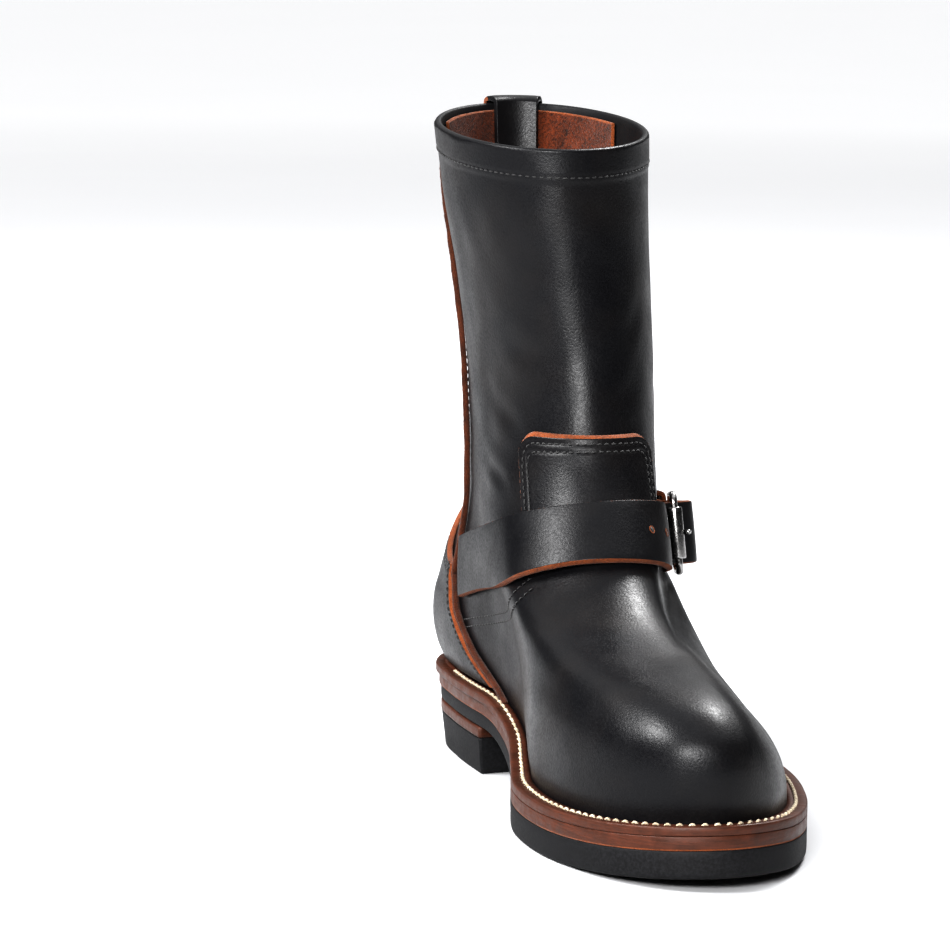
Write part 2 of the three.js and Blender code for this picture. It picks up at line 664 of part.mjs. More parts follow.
// Instep guard: a patch over the front of the ankle, its top corners rounded
const GUARD_COLUMNS = 18;
const GUARD_ROWS = 7;
const GUARD_INNER = 0.612;
const GUARD_OUTER = 0.42;
const GUARD_TOP = 0.5;
const GUARD_TUCK = 6;
const GUARD_LEAN = 9;
const GUARD_CORNER = 11;

function makeGuard() {
  const width = (GUARD_INNER - GUARD_OUTER) * ANKLE_GIRTH;
  const at = (wide, high) => {
    const around = mix(GUARD_OUTER, GUARD_INNER, wide);
    const edge = Math.min(wide, 1 - wide) * width;
    const reach = Math.max(0, 1 - edge / GUARD_CORNER);
    const drop = (GUARD_CORNER * (1 - Math.sqrt(1 - reach * reach))) / SHAFT_HEIGHT;
    const low = readRows(STRAP_EDGES, 'around', around).high - GUARD_TUCK / SHAFT_HEIGHT;
    return { around, level: mix(levelAt(around, low), levelAt(around, GUARD_TOP - drop), high) };
  };
  return patch('instep_guard', GUARD_ROWS, GUARD_COLUMNS, at, TRIM_GAP, GUARD_THICKNESS, BLACK_LEATHER);
}

// A strip of leather of even thickness about parallel lines of points
function strip(name, lines, thickness, finish) {
  const last = lines[0].length - 1;
  const side = (share) => lines.map((line, j) => line.map((point, i) => {
    const run = new THREE.Vector3().subVectors(line[Math.min(i + 1, last)], line[Math.max(i - 1, 0)]);
    const wide = new THREE.Vector3().subVectors(
      lines[Math.min(j + 1, lines.length - 1)][i],
      lines[Math.max(j - 1, 0)][i],
    );
    return point.clone().addScaledVector(wide.cross(run).normalize(), share * thickness);
  }));
  return mesh(name, slab(side(0.5), side(-0.5)), finish);
}

// A strap along a route of low edge, middle and high edge points
function strap(name, route) {
  const lines = [0, 1, 2].map((j) => route.map((points) => points[j]));
  return strip(name, lines, STRAP_THICKNESS, BLACK_LEATHER);
}

// The buckle's place on the ankle, and the lifts of what lies there
const ROLLER_AROUND = 0.345;
const BAR_AROUND = ROLLER_AROUND - (BUCKLE_LENGTH - BUCKLE_WIRE) / ANKLE_GIRTH;
const WIRE_RADIUS = BUCKLE_WIRE / 2;
const ROLLER_RADIUS = WIRE_RADIUS + CLEARANCE + ROLLER_WALL;
const LOOP_GAP = 2.5 * CLEARANCE;
const BED = TRIM_GAP + STRAP_THICKNESS / 2;
const OVER_GUARD = BED + GUARD_THICKNESS + TRIM_GAP;
const OVER_LAYER = BED + STRAP_THICKNESS + LOOP_GAP;
const LOOP_RADIUS = WIRE_RADIUS + LOOP_GAP + STRAP_THICKNESS / 2;
const BAR_LIFT = BED + LOOP_RADIUS;
const UNDER_ROLLER = ROLLER_RADIUS + LOOP_GAP + STRAP_THICKNESS / 2;
const ROLLER_LIFT = BED + UNDER_ROLLER;
const OVER_LOOP = LOOP_RADIUS + STRAP_THICKNESS + LOOP_GAP;

// A point on one edge of the strap, or with both on its middle line
function strapSpot(around, names, lift) {
  const edges = readRows(STRAP_EDGES, 'around', around);
  const height = names.reduce((sum, name) => sum + edges[name], 0) / names.length;
  return offUpper(around, levelAt(around, height), lift);
}

// The low edge, middle and high edge of a strap square to its run at a place around, lifted off the
// upper and moved in by trim. It lies straight across its width where the upper is hollow.
function strapEdges(around, lowLift, highLift, trim) {
  const both = ['low', 'high'];
  const stride = 2 / ANKLE_GIRTH;
  const bare = strapSpot(around, both, 0);
  const run = strapSpot(around + stride, both, 0).sub(strapSpot(around - stride, both, 0));
  const scale = run.length() / (2 * stride);
  run.normalize();
  const edge = (name, lift) => {
    let spot = around;
    for (let k = 0; k < 5; k += 1) spot -= strapSpot(spot, [name], 0).sub(bare).dot(run) / scale;
    return strapSpot(spot, [name], lift);
  };
  const [low, high] = [edge('low', lowLift), edge('high', highLift)];
  const chord = low.clone().lerp(high, 0.5);
  const laid = strapSpot(around, both, (lowLift + highLift) / 2);
  const middle = laid.clone().sub(chord).dot(laid.clone().sub(bare)) > 0 ? laid : chord;
  const share = (2 * trim) / low.distanceTo(high);
  return [low.lerp(middle, share), middle, high.lerp(middle, share)];
}

// Directions at the buckle: ahead to the front, up its height and out of the boot
const BAR_EDGES = strapEdges(BAR_AROUND, BAR_LIFT, BAR_LIFT, 0);
const ROLLER_EDGES = strapEdges(ROLLER_AROUND, ROLLER_LIFT, ROLLER_LIFT, 0);
const BAR_SPOT = BAR_EDGES[0].clone().lerp(BAR_EDGES[2], 0.5);
const ROLLER_SPOT = ROLLER_EDGES[0].clone().lerp(ROLLER_EDGES[2], 0.5);
const UPWARD = new THREE.Vector3().subVectors(BAR_EDGES[2], BAR_EDGES[0]);
UPWARD.add(ROLLER_EDGES[2]).sub(ROLLER_EDGES[0]).normalize();
const AHEAD = new THREE.Vector3().subVectors(ROLLER_SPOT, BAR_SPOT);
AHEAD.addScaledVector(UPWARD, -AHEAD.dot(UPWARD));
const BUCKLE_SPAN = AHEAD.length();
AHEAD.normalize();
const OUT = new THREE.Vector3().crossVectors(AHEAD, UPWARD);
OUT.multiplyScalar(Math.sign(OUT.x));

function atBuckle(ahead, up, out) {
  return BAR_SPOT.clone().addScaledVector(AHEAD, ahead).addScaledVector(UPWARD, up).addScaledVector(OUT, out);
}

function acrossBuckle(ahead, out, half) {
  return [atBuckle(ahead, -half, out), atBuckle(ahead, 0, out), atBuckle(ahead, half, out)];
}

// Ankle strap: sewn at the inner seam, over the guard, under the roller, up over the bar, down to its tip
const STRAP_FROM = 0.857;
const STRAP_TIP = 0.176;
const STRAP_REACH = 3;
const STRAP_FRONT_STEPS = 40;
const STRAP_BUCKLE_STEPS = 12;
const STRAP_TIP_STEPS = 8;
const STRAP_HALF_WIDTH = 12;
const FOLD_BACK = 8;
const TIP_CORNER = 9;
const STEP_LENGTH = 5;
const LOW_SHARE = 0.85;
const FRONT_BED = BED + CLEARANCE;

function makeAnkleStrap() {
  const route = [];
  const front = GUARD_OUTER - (GUARD_LEAN + 1 + STEP_LENGTH) / ANKLE_GIRTH;
  for (let i = 0; i <= STRAP_FRONT_STEPS; i += 1) {
    const around = mix(STRAP_FROM, front, i / STRAP_FRONT_STEPS);
    const past = Math.max(around - GUARD_INNER, GUARD_OUTER - around) * ANKLE_GIRTH - GUARD_LEAN;
    const rise = (OVER_GUARD - BED) * (1 - smooth(1, 1 + STEP_LENGTH, past));
    route.push(strapEdges(around, FRONT_BED + rise * LOW_SHARE, FRONT_BED + rise, 0));
  }
  for (let i = 0; i <= STRAP_BUCKLE_STEPS; i += 1) {
    const ahead = mix(BUCKLE_SPAN + STRAP_REACH, -FOLD_BACK - STRAP_REACH, i / STRAP_BUCKLE_STEPS);
    const under = smooth(LOOP_RADIUS, BUCKLE_SPAN - WIRE_RADIUS, ahead);
    route.push(acrossBuckle(ahead, mix(OVER_LOOP, -UNDER_ROLLER, under), STRAP_HALF_WIDTH));
  }
  const back = BAR_AROUND - (FOLD_BACK + STRAP_REACH + 2 * STEP_LENGTH) / ANKLE_GIRTH;
  for (let i = 0; i <= STRAP_TIP_STEPS; i += 1) {
    const around = mix(back, STRAP_TIP, i / STRAP_TIP_STEPS);
    const reach = Math.max(0, 1 - ((around - STRAP_TIP) * ANKLE_GIRTH) / TIP_CORNER);
    const trim = TIP_CORNER * (1 - Math.sqrt(1 - reach * reach));
    route.push(strapEdges(around, OVER_LAYER, OVER_LAYER, trim));
  }
  return strap('ankle_strap', route);
}

// Buckle strap: from the outer seam along the upper, round the bar and back on itself
const BUCKLE_STRAP_FROM = 0.166;
const BUCKLE_STRAP_STEPS = 8;
const LOOP_STEPS = 8;

function makeBuckleStrap() {
  const route = [];
  const until = BAR_AROUND - STEP_LENGTH / ANKLE_GIRTH;
  for (let i = 0; i <= BUCKLE_STRAP_STEPS; i += 1) {
    route.push(strapEdges(mix(BUCKLE_STRAP_FROM, until, i / BUCKLE_STRAP_STEPS), BED, BED, 1));
  }
  for (let i = 0; i <= LOOP_STEPS; i += 1) {
    const angle = Math.PI * (i / LOOP_STEPS - 0.5);
    const [ahead, out] = [LOOP_RADIUS * Math.cos(angle), LOOP_RADIUS * Math.sin(angle)];
    route.push(acrossBuckle(ahead, out, STRAP_HALF_WIDTH - 1));
  }
  route.push(acrossBuckle(-FOLD_BACK, LOOP_RADIUS, STRAP_HALF_WIDTH - 1));
  return strap('buckle_strap', route);
}

// Round wire along a route of points given with the plane's own out direction
function wire(route, radius, closed) {
  const rings = route.map((point, k) => {
    const before = closed ? route[(k + route.length - 1) % route.length] : route[Math.max(k - 1, 0)];
    const after = closed ? route[(k + 1) % route.length] : route[Math.min(k + 1, route.length - 1)];
    const run = new THREE.Vector3().subVectors(after, before).normalize();
    const side = new THREE.Vector3().crossVectors(run, OUT).normalize();
    const rise = new THREE.Vector3().crossVectors(side, run).normalize();
    return Array.from({ length: BAR_SIDES }, (_, i) => {
      const angle = (2 * Math.PI * i) / BAR_SIDES;
      return point.clone().addScaledVector(side, radius * Math.cos(angle))
        .addScaledVector(rise, radius * Math.sin(angle));
    });
  });
  return closed ? hoop(rings) : tube(rings);
}

const BUCKLE_CORNER = 3;
const CORNER_STEPS = 4;

function makeBuckleFrame() {
  const near = BUCKLE_CORNER;
  const far = BUCKLE_SPAN - BUCKLE_CORNER;
  const side = BUCKLE_HEIGHT / 2 - WIRE_RADIUS - BUCKLE_CORNER;
  const route = [];
  [[near, -side], [far, -side], [far, side], [near, side]].forEach(([ahead, up], corner) => {
    for (let k = 0; k <= CORNER_STEPS; k += 1) {
      const angle = (Math.PI / 2) * (corner + 2 + k / CORNER_STEPS);
      route.push(atBuckle(ahead + BUCKLE_CORNER * Math.cos(angle), up + BUCKLE_CORNER * Math.sin(angle), 0));
    }
  });
  return mesh('buckle_frame', wire(route, WIRE_RADIUS, true), NICKEL);
}

// The roller turns on the frame's front bar
function makeRoller() {
  const half = BUCKLE_HEIGHT / 2 - BUCKLE_WIRE - BUCKLE_CORNER;
  const inner = WIRE_RADIUS + CLEARANCE;
  const profile = [[inner, -half], [ROLLER_RADIUS, -half], [ROLLER_RADIUS, half], [inner, half]];
  const rings = profile.map(([radius, up]) => Array.from({ length: BAR_SIDES * 2 }, (_, i) => {
    const angle = (Math.PI * i) / BAR_SIDES;
    return atBuckle(BUCKLE_SPAN + radius * Math.cos(angle), up, radius * Math.sin(angle));
  }));
  return mesh('buckle_roller', hoop(rings), NICKEL);
}

// The prong lies from over the strap at the bar to the top of the roller
function makeProng() {
  const radius = PRONG_DIAMETER / 2;
  const overStrap = OVER_LOOP + STRAP_THICKNESS / 2 + LOOP_GAP + radius;
  const overRoller = ROLLER_RADIUS + CLEARANCE + radius;
  const route = [
    atBuckle(0, 0, overStrap),
    atBuckle(BUCKLE_SPAN * 0.3, 0, overStrap),
    atBuckle(BUCKLE_SPAN * 0.65, 0, mix(overStrap, overRoller, 0.6)),
    atBuckle(BUCKLE_SPAN, 0, overRoller),
    atBuckle(BUCKLE_SPAN + ROLLER_RADIUS, 0, overRoller),
  ];
  return mesh('buckle_prong', wire(route, radius, false), NICKEL);
}

// Keeper: a leather band over the strap's tip, its ends down on the upper at both edges
const KEEPER_AROUND = 0.198;
const KEEPER_BEND = 3;

function makeKeeper() {
  const foot = TRIM_GAP + KEEPER_THICKNESS / 2;
  const top = OVER_LAYER + STRAP_THICKNESS / 2 + LOOP_GAP + KEEPER_THICKNESS / 2;
  const half = KEEPER_WIDTH / 2 / ANKLE_GIRTH;
  const margin = KEEPER_THICKNESS / 2 + 2 * LOOP_GAP;
  const lines = [-half, 0, half].map((step) => {
    const [low, , high] = strapEdges(KEEPER_AROUND + step, foot, foot, -margin);
    const out = strapEdges(KEEPER_AROUND + step, top, top, -margin);
    const route = [];
    for (let k = 0; k <= KEEPER_BEND; k += 1) route.push(low.clone().lerp(out[0], k / KEEPER_BEND));
    for (let k = 0; k < KEEPER_BEND; k += 1) route.push(out[2].clone().lerp(high, k / KEEPER_BEND));
    route.push(high);
    return route;
  });
  return strip('strap_keeper', lines, KEEPER_THICKNESS, BLACK_LEATHER);
}

// Inside of the collar: the suede facing round the back
const FACING_INNER = -0.17;
const FACING_OUTER = 0.17;
const FACING_LIFT = -(WALL + TRIM_GAP + FACING_THICKNESS);

function makeFacing() {
  const at = (wide, high) => {
    const around = mix(FACING_INNER, FACING_OUTER, wide);
    const top = readChart(CHART, around, 1).z - featherHeight(0) - FACING_TOP_MARGIN;
    const height = (top - FACING_DROP * (1 - high)) / SHAFT_HEIGHT;
    return { around, level: levelAt(around, height) };
  };
  return patch('back_facing', 3, 16, at, FACING_LIFT, FACING_THICKNESS, SUEDE);
}

// Pull tab: a leather strip folded over the collar at the back
const TAB_AROUND = 0;

function makePullTab() {
  const half = TAB_WIDTH / 2;
  const outLift = TRIM_GAP + TAB_THICKNESS / 2;
  const inLift = FACING_LIFT - TRIM_GAP - TAB_THICKNESS / 2;
  const girth = CHART[CHART_LEVELS].reduce((sum, point, i, ring) => (
    sum + point.distanceTo(ring[(i + 1) % ring.length])), 0);
  const route = [];
  const steps = 4;
  for (let k = 0; k <= steps; k += 1) route.push([-TAB_DROP_OUTSIDE * (1 - k / steps), outLift]);
  const turns = 6;
  const middle = (outLift + inLift) / 2;
  const reach = (outLift - inLift) / 2;
  for (let k = 1; k < turns; k += 1) {
    const angle = (Math.PI * k) / turns;
    route.push([1.2 + reach * 0.7 * Math.sin(angle), middle + reach * Math.cos(angle)]);
  }
  for (let k = 0; k <= steps; k += 1) route.push([-TAB_DROP_INSIDE * (k / steps), inLift]);
  const columns = 3;
  const lines = Array.from({ length: columns + 1 }, (_, j) => route.map(([rise, lift]) => {
    const around = TAB_AROUND + mix(-half, half, j / columns) / girth;
    const top = readChart(CHART, around, 1);
    const share = (top.z - featherHeight(0) + Math.min(rise, 0)) / SHAFT_HEIGHT;
    const point = offUpper(around, levelAt(around, share), lift);
    point.z = top.z + rise;
    return point;
  }));
  return strip('pull_tab', lines, TAB_THICKNESS, BLACK_LEATHER);
}

const boot = new THREE.Group();
boot.add(
  makeOutsole(),
  makeMidsole(),
  makeWelt(),
  makeHeelBlock(),
  makeHeelLift(),
  makeInsole(),
  makeUpper(),
  makeCounter(),
  makeGuard(),
  makePiping('side_piping_inner', 'inner'),
  makePiping('side_piping_outer', 'outer'),
  makeAnkleStrap(),
  makeBuckleStrap(),
  makeBuckleFrame(),
  makeRoller(),
  makeProng(),
  makeKeeper(),
  makeFacing(),
  makePullTab(),
);

// The origin goes under the middle of the box around the boot
const box = new THREE.Box3().setFromObject(boot, true);
const centre = box.getCenter(new THREE.Vector3());
boot.position.set(-centre.x, -centre.y, 0);

export default boot;
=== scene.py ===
"""Looks of a left engineer boot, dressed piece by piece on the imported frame.

Lengths are in millimetres until a mesh is written, which takes metres. +Z is up, the toe points
to -Y and +X is the outer side. "along" runs forward from the heel's back and "across" runs from
the inner to the outer side of the sole.
"""

import logging
import math
from dataclasses import dataclass, field
from enum import Enum
from typing import Callable, Optional, Sequence

import bpy
import numpy as np
from mathutils import Matrix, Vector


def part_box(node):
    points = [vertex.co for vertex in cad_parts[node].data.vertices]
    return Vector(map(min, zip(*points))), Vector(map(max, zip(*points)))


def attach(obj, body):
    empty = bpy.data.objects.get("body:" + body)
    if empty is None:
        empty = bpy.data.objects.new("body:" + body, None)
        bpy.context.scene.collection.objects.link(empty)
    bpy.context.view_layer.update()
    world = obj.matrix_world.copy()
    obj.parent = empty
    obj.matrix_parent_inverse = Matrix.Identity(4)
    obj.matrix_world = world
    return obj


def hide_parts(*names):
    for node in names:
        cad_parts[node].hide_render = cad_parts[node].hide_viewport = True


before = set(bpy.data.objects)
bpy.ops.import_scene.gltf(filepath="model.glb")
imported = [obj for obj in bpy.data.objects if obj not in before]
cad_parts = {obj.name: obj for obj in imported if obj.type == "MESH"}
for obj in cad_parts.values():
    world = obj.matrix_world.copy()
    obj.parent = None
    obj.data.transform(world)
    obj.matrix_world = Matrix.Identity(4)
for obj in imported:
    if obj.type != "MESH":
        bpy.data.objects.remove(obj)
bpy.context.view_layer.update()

Array = np.ndarray
MM = 0.001
log = logging.getLogger("boot")

OUTLINE = np.array([
    (0.0, 0.0), (0.022, 0.175), (0.085, 0.288), (0.18, 0.322), (0.28, 0.338), (0.37, 0.373),
    (0.47, 0.442), (0.57, 0.49), (0.68, 0.464), (0.79, 0.385), (0.88, 0.285), (0.955, 0.149),
    (0.996, -0.022), (1.0, -0.132), (0.975, -0.286), (0.915, -0.409), (0.83, -0.485),
    (0.74, -0.513), (0.64, -0.494), (0.545, -0.42), (0.455, -0.346), (0.37, -0.322),
    (0.28, -0.33), (0.18, -0.322), (0.085, -0.285), (0.022, -0.175),
])
"""The sole's outline from the heel's back along the outer side: shares of length and ball width."""

COLUMNS = (
    "front", "front_rise", "front_across", "back", "back_rise", "back_across", "stand",
    "outer", "inner", "slope", "seat", "round", "print", "follow", "turn",
)
SECTIONS = np.array([
  (1.0, 0.0, -0.125, 0.0, 0.0, 0.0, 0, 1.0, 1.0, 0.0, 0.0, 2.3, 1.0, 1.0, 0),
  (1.0, 0.0, -0.125, 0.0, 0.0, 0.0, 1, 1.0, 1.0, 0.0, 0.0, 2.3, 1.0, 1.0, 0),
  (1.0075, 0.039, -0.125, -0.0086, 0.039, 0.0, 1, 0.961, 1.03, 0.0, 0.08, 2.3, 1.0, 1.0, 0),
  (1.0085, 0.087, -0.13, -0.0128, 0.079, 0.0, 1, 0.9187, 1.04, 0.06, 0.13, 2.4, 0.95, 1.0, 0),
  (0.9969, 0.1314, -0.135, -0.0128, 0.121, 0.0, 1, 0.9093, 1.03, 0.253, 0.15, 2.4, 0.85, 0.9, 0),
  (0.9637, 0.1725, -0.1301, -0.0112, 0.159, 0.0, 1, 0.9727, 1.01, 0.399, 0.14, 2.3, 0.65, 0.8, 0),
  (0.9143, 0.1995, -0.1277, -0.0075, 0.196, 0.0, 1, 1.0363, 1.0, 0.503, 0.12, 2.2, 0.5, 0.65, 0),
  (0.8486, 0.2176, -0.1233, -0.0023, 0.233, 0.0, 1, 1.0881, 0.99, 0.533, 0.09, 2.1, 0.38, 0.5, 0),
  (0.7705, 0.2358, -0.1151, 0.0029, 0.273, 0.0, 1, 1.0893, 0.97, 0.516, 0.05, 2.05, 0.28, 0.35, 0),
  (0.6859, 0.2665, -0.0962, 0.0112, 0.317, 0.0, 1, 1.0633, 0.95, 0.403, 0.02, 2.0, 0.2, 0.2, 0),
  (0.6061, 0.3191, -0.0787, 0.0216, 0.367, 0.0, 1, 1.0599, 0.93, 0.253, 0.0, 2.0, 0.12, 0.1, 0),
  (0.5368, 0.397, -0.0595, 0.03, 0.429, 0.0, 1, 1.0624, 0.92, 0.103, 0.0, 2.0, 0.05, 0.0, 0),
  (0.4841, 0.4964, -0.0418, 0.0331, 0.511, -0.005, 1, 1.0473, 0.92, 0.02, 0.0, 2.0, 0.0, 0.0, -1),
  (0.4551, 0.621, -0.03, 0.0279, 0.616, -0.015, 1, 1.0763, 0.95, 0.0, 0.0, 2.0, 0.0, 0.0, -3),
  (0.4385, 0.751, -0.04, 0.0122, 0.746, -0.03, 1, 1.1401, 1.02, 0.0, 0.0, 2.0, 0.0, 0.0, -5),
  (0.4291, 0.881, -0.055, -0.0075, 0.881, -0.045, 1, 1.1947, 1.11, 0.0, 0.0, 2.0, 0.0, 0.0, -7),
  (0.4239, 0.996, -0.06, -0.0221, 1.016, -0.05, 1, 1.2295, 1.18, 0.0, 0.0, 2.0, 0.0, 0.0, -8),
])
"""Sections of the upper from the feather line to the collar, one row each, as COLUMNS names them."""

SEAM = np.array([
    (0.0, 0.806, 0.194), (0.04, 0.826, 0.176), (0.08, 0.845, 0.16), (0.14, 0.866, 0.14),
    (0.2, 0.878, 0.13), (0.27, 0.868, 0.136), (0.35, 0.846, 0.152), (0.45, 0.829, 0.168),
    (0.6, 0.836, 0.161), (0.8, 0.853, 0.145), (1.05, 0.871, 0.127),
])
"""Side seams: height as a share of the shaft, and where the inner and the outer seam stand."""

STRAP_EDGES = np.array([
    (0.14, 0.232, 0.342), (0.21, 0.236, 0.346), (0.26, 0.241, 0.351), (0.3, 0.247, 0.356),
    (0.34, 0.254, 0.362), (0.38, 0.263, 0.37), (0.42, 0.275, 0.378), (0.46, 0.289, 0.385),
    (0.5, 0.294, 0.387), (0.54, 0.288, 0.38), (0.58, 0.273, 0.368), (0.64, 0.254, 0.349),
    (0.7, 0.236, 0.331), (0.757, 0.224, 0.313), (0.8, 0.206, 0.297), (0.857, 0.169, 0.272),
])
"""The ankle strap's way round: place around, and its low and high edge as shares of the shaft."""


class Side(Enum):
    """A side of the foot, by its column in the seam's table."""

    INNER = 1
    OUTER = 2


def smooth(low: float, high: float, value: Array) -> Array:
    """Rise from 0 at low to 1 at high along 3t^2 - 2t^3, for values of any shape."""
    share = np.clip((value - low) / (high - low), 0.0, 1.0)
    return share * share * (3.0 - 2.0 * share)


def mix(low: Array, high: Array, share: Array) -> Array:
    """Return low + (high - low) * share."""
    return low + (high - low) * share


def unit(vectors: Array) -> Array:
    """Return the vectors at length 1."""
    return vectors / np.maximum(np.linalg.norm(vectors, axis=-1, keepdims=True), 1e-9)


def reach_along(path: Array) -> Array:
    """Return the length from a path's start to each of its points."""
    return np.concatenate([[0.0], np.cumsum(np.linalg.norm(np.diff(path, axis=0), axis=1))])


def read_path(values: Array, reach: Array, goal: Array) -> Array:
    """Read rows of values linearly at some lengths along a path."""
    return np.stack([np.interp(goal, reach, column) for column in values.T], axis=1)


def spaced(path: Array, count: int) -> Array:
    """Lay count + 1 evenly spaced points along an open path, both ends included."""
    reach = reach_along(path)
    return read_path(path, reach, np.linspace(0.0, reach[-1], count + 1))


def two_sides(ring: Array, count: int) -> Array:
    """Space a closed ring evenly, up its outer side to the front and back down its inner side."""
    half = len(ring) // 2
    outer = spaced(ring[:half + 1], count // 2)
    inner = spaced(np.vstack([ring[half:], ring[:1]]), count // 2)
    return np.vstack([outer[:-1], inner[:-1]])


def ripple(points: Array, length: float, seed: int, waves: int = 14) -> Array:
    """Give a gentle random swell of about -1 to 1: a sum of sine waves in seeded directions."""
    rng = np.random.default_rng(seed)
    ways = unit(rng.normal(size=(waves, 3))) * rng.uniform(0.7, 1.4, (waves, 1))
    phases = rng.uniform(0.0, 2.0 * math.pi, waves)
    turns = points @ ways.T * (2.0 * math.pi / length) + phases
    return np.sin(turns).sum(axis=-1) / math.sqrt(waves)


def grid_faces(rows: int, columns: int, wrap: bool, start: int = 0) -> Array:
    """Number the quads of a grid in a vertex list, each row closed on itself if it wraps."""
    near = np.arange(columns if wrap else columns - 1)
    after = (near + 1) % columns
    low = np.arange(rows - 1)[:, None] * columns + start
    corners = (low + near, low + after, low + after + columns, low + near + columns)
    return np.stack(corners, axis=-1).reshape(-1, 4)


def fan(centre: int, ring: Array) -> Array:
    """Return the triangles from one vertex to the steps of a closed ring of vertex numbers."""
    return np.stack([np.full(len(ring), centre), ring, np.roll(ring, -1)], axis=1)


@dataclass
class Solid:
    """A closed mesh in millimetres, gathered before it is written."""

    points: Array
    quads: Array
    tris: Array = field(default_factory=lambda: np.zeros((0, 3), int))
    slots: Optional[Array] = None

    def turned_out(self) -> "Solid":
        """Turn every face over if the mesh encloses a negative volume, a sum of p0.(p1 x p2) / 6."""
        corners = np.vstack([self.quads[:, [0, 1, 2]], self.quads[:, [0, 2, 3]], self.tris])
        a, b, c = (self.points[corners[:, k]] for k in range(3))
        if np.einsum("ij,ij->", a, np.cross(b, c)) < 0.0:
            self.quads = self.quads[:, ::-1]
            self.tris = self.tris[:, ::-1]
        return self

    @staticmethod
    def joined(parts: Sequence["Solid"]) -> "Solid":
        """Put several meshes in one vertex list."""
        starts = np.cumsum([0] + [len(part.points) for part in parts[:-1]])
        return Solid(
            np.vstack([part.points for part in parts]),
            np.vstack([part.quads + start for part, start in zip(parts, starts)]),
            np.vstack([part.tris + start for part, start in zip(parts, starts)]),
        )


def ring_solid(rings: Array, closed: bool = False) -> Solid:
    """Join rings of points, and close both ends to their middle points or to each other.

    Args:
        rings: Rings of points, rows by columns.
        closed: Whether the last ring joins the first.

    Returns:
        The closed mesh.
    """
    rows, columns = rings.shape[:2]
    points = rings.reshape(-1, 3)
    count = len(points)
    if closed:
        return Solid(points, grid_faces(rows + 1, columns, True) % count).turned_out()
    ring = np.arange(columns)
    ends = np.vstack([fan(count, ring)[:, [0, 2, 1]], fan(count + 1, ring + count - columns)])
    points = np.vstack([points, rings[0].mean(axis=0), rings[-1].mean(axis=0)])
    return Solid(points, grid_faces(rows, columns, True), ends).turned_out()


def write_piece(name: str, solid: Solid, materials: Sequence[bpy.types.Material],
                nodes: Sequence[str] = ()) -> bpy.types.Object:
    """Write a mesh as a Blender object at the origin, riding on the boot.

    Args:
        name: Name of the piece.
        solid: Its mesh in millimetres.
        materials: Materials by slot number.
        nodes: CAD nodes that the piece stands for.

    Returns:
        The new object.
    """
    mesh = bpy.data.meshes.new(name)
    quads, tris = solid.quads, solid.tris
    mesh.vertices.add(len(solid.points))
    mesh.vertices.foreach_set("co", (solid.points * MM).astype(np.float32).ravel())
    mesh.loops.add(quads.size + tris.size)
    mesh.loops.foreach_set("vertex_index", np.concatenate([quads.ravel(), tris.ravel()]).astype(np.int32))
    sizes = np.concatenate([np.full(len(quads), 4), np.full(len(tris), 3)])
    mesh.polygons.add(len(sizes))
    mesh.polygons.foreach_set("loop_start", np.concatenate([[0], np.cumsum(sizes)[:-1]]).astype(np.int32))
    if solid.slots is not None:
        mesh.polygons.foreach_set("material_index", solid.slots.astype(np.int32))
    mesh.polygons.foreach_set("use_smooth", np.ones(len(sizes), bool))
    mesh.update(calc_edges=True)
    mesh.validate()
    for material in materials:
        mesh.materials.append(material)
    piece = bpy.data.objects.new(name, mesh)
    bpy.context.scene.collection.objects.link(piece)
    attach(piece, "root")
    if nodes:
        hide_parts(*nodes)
    log.info("%s: %d points, %d faces", name, len(solid.points), len(sizes))
    return piece


def read_table(table: Array, column: int, value: Array) -> Array:
    """Read one column of a table linearly by its first column."""
    return np.interp(value, table[:, 0], table[:, column])


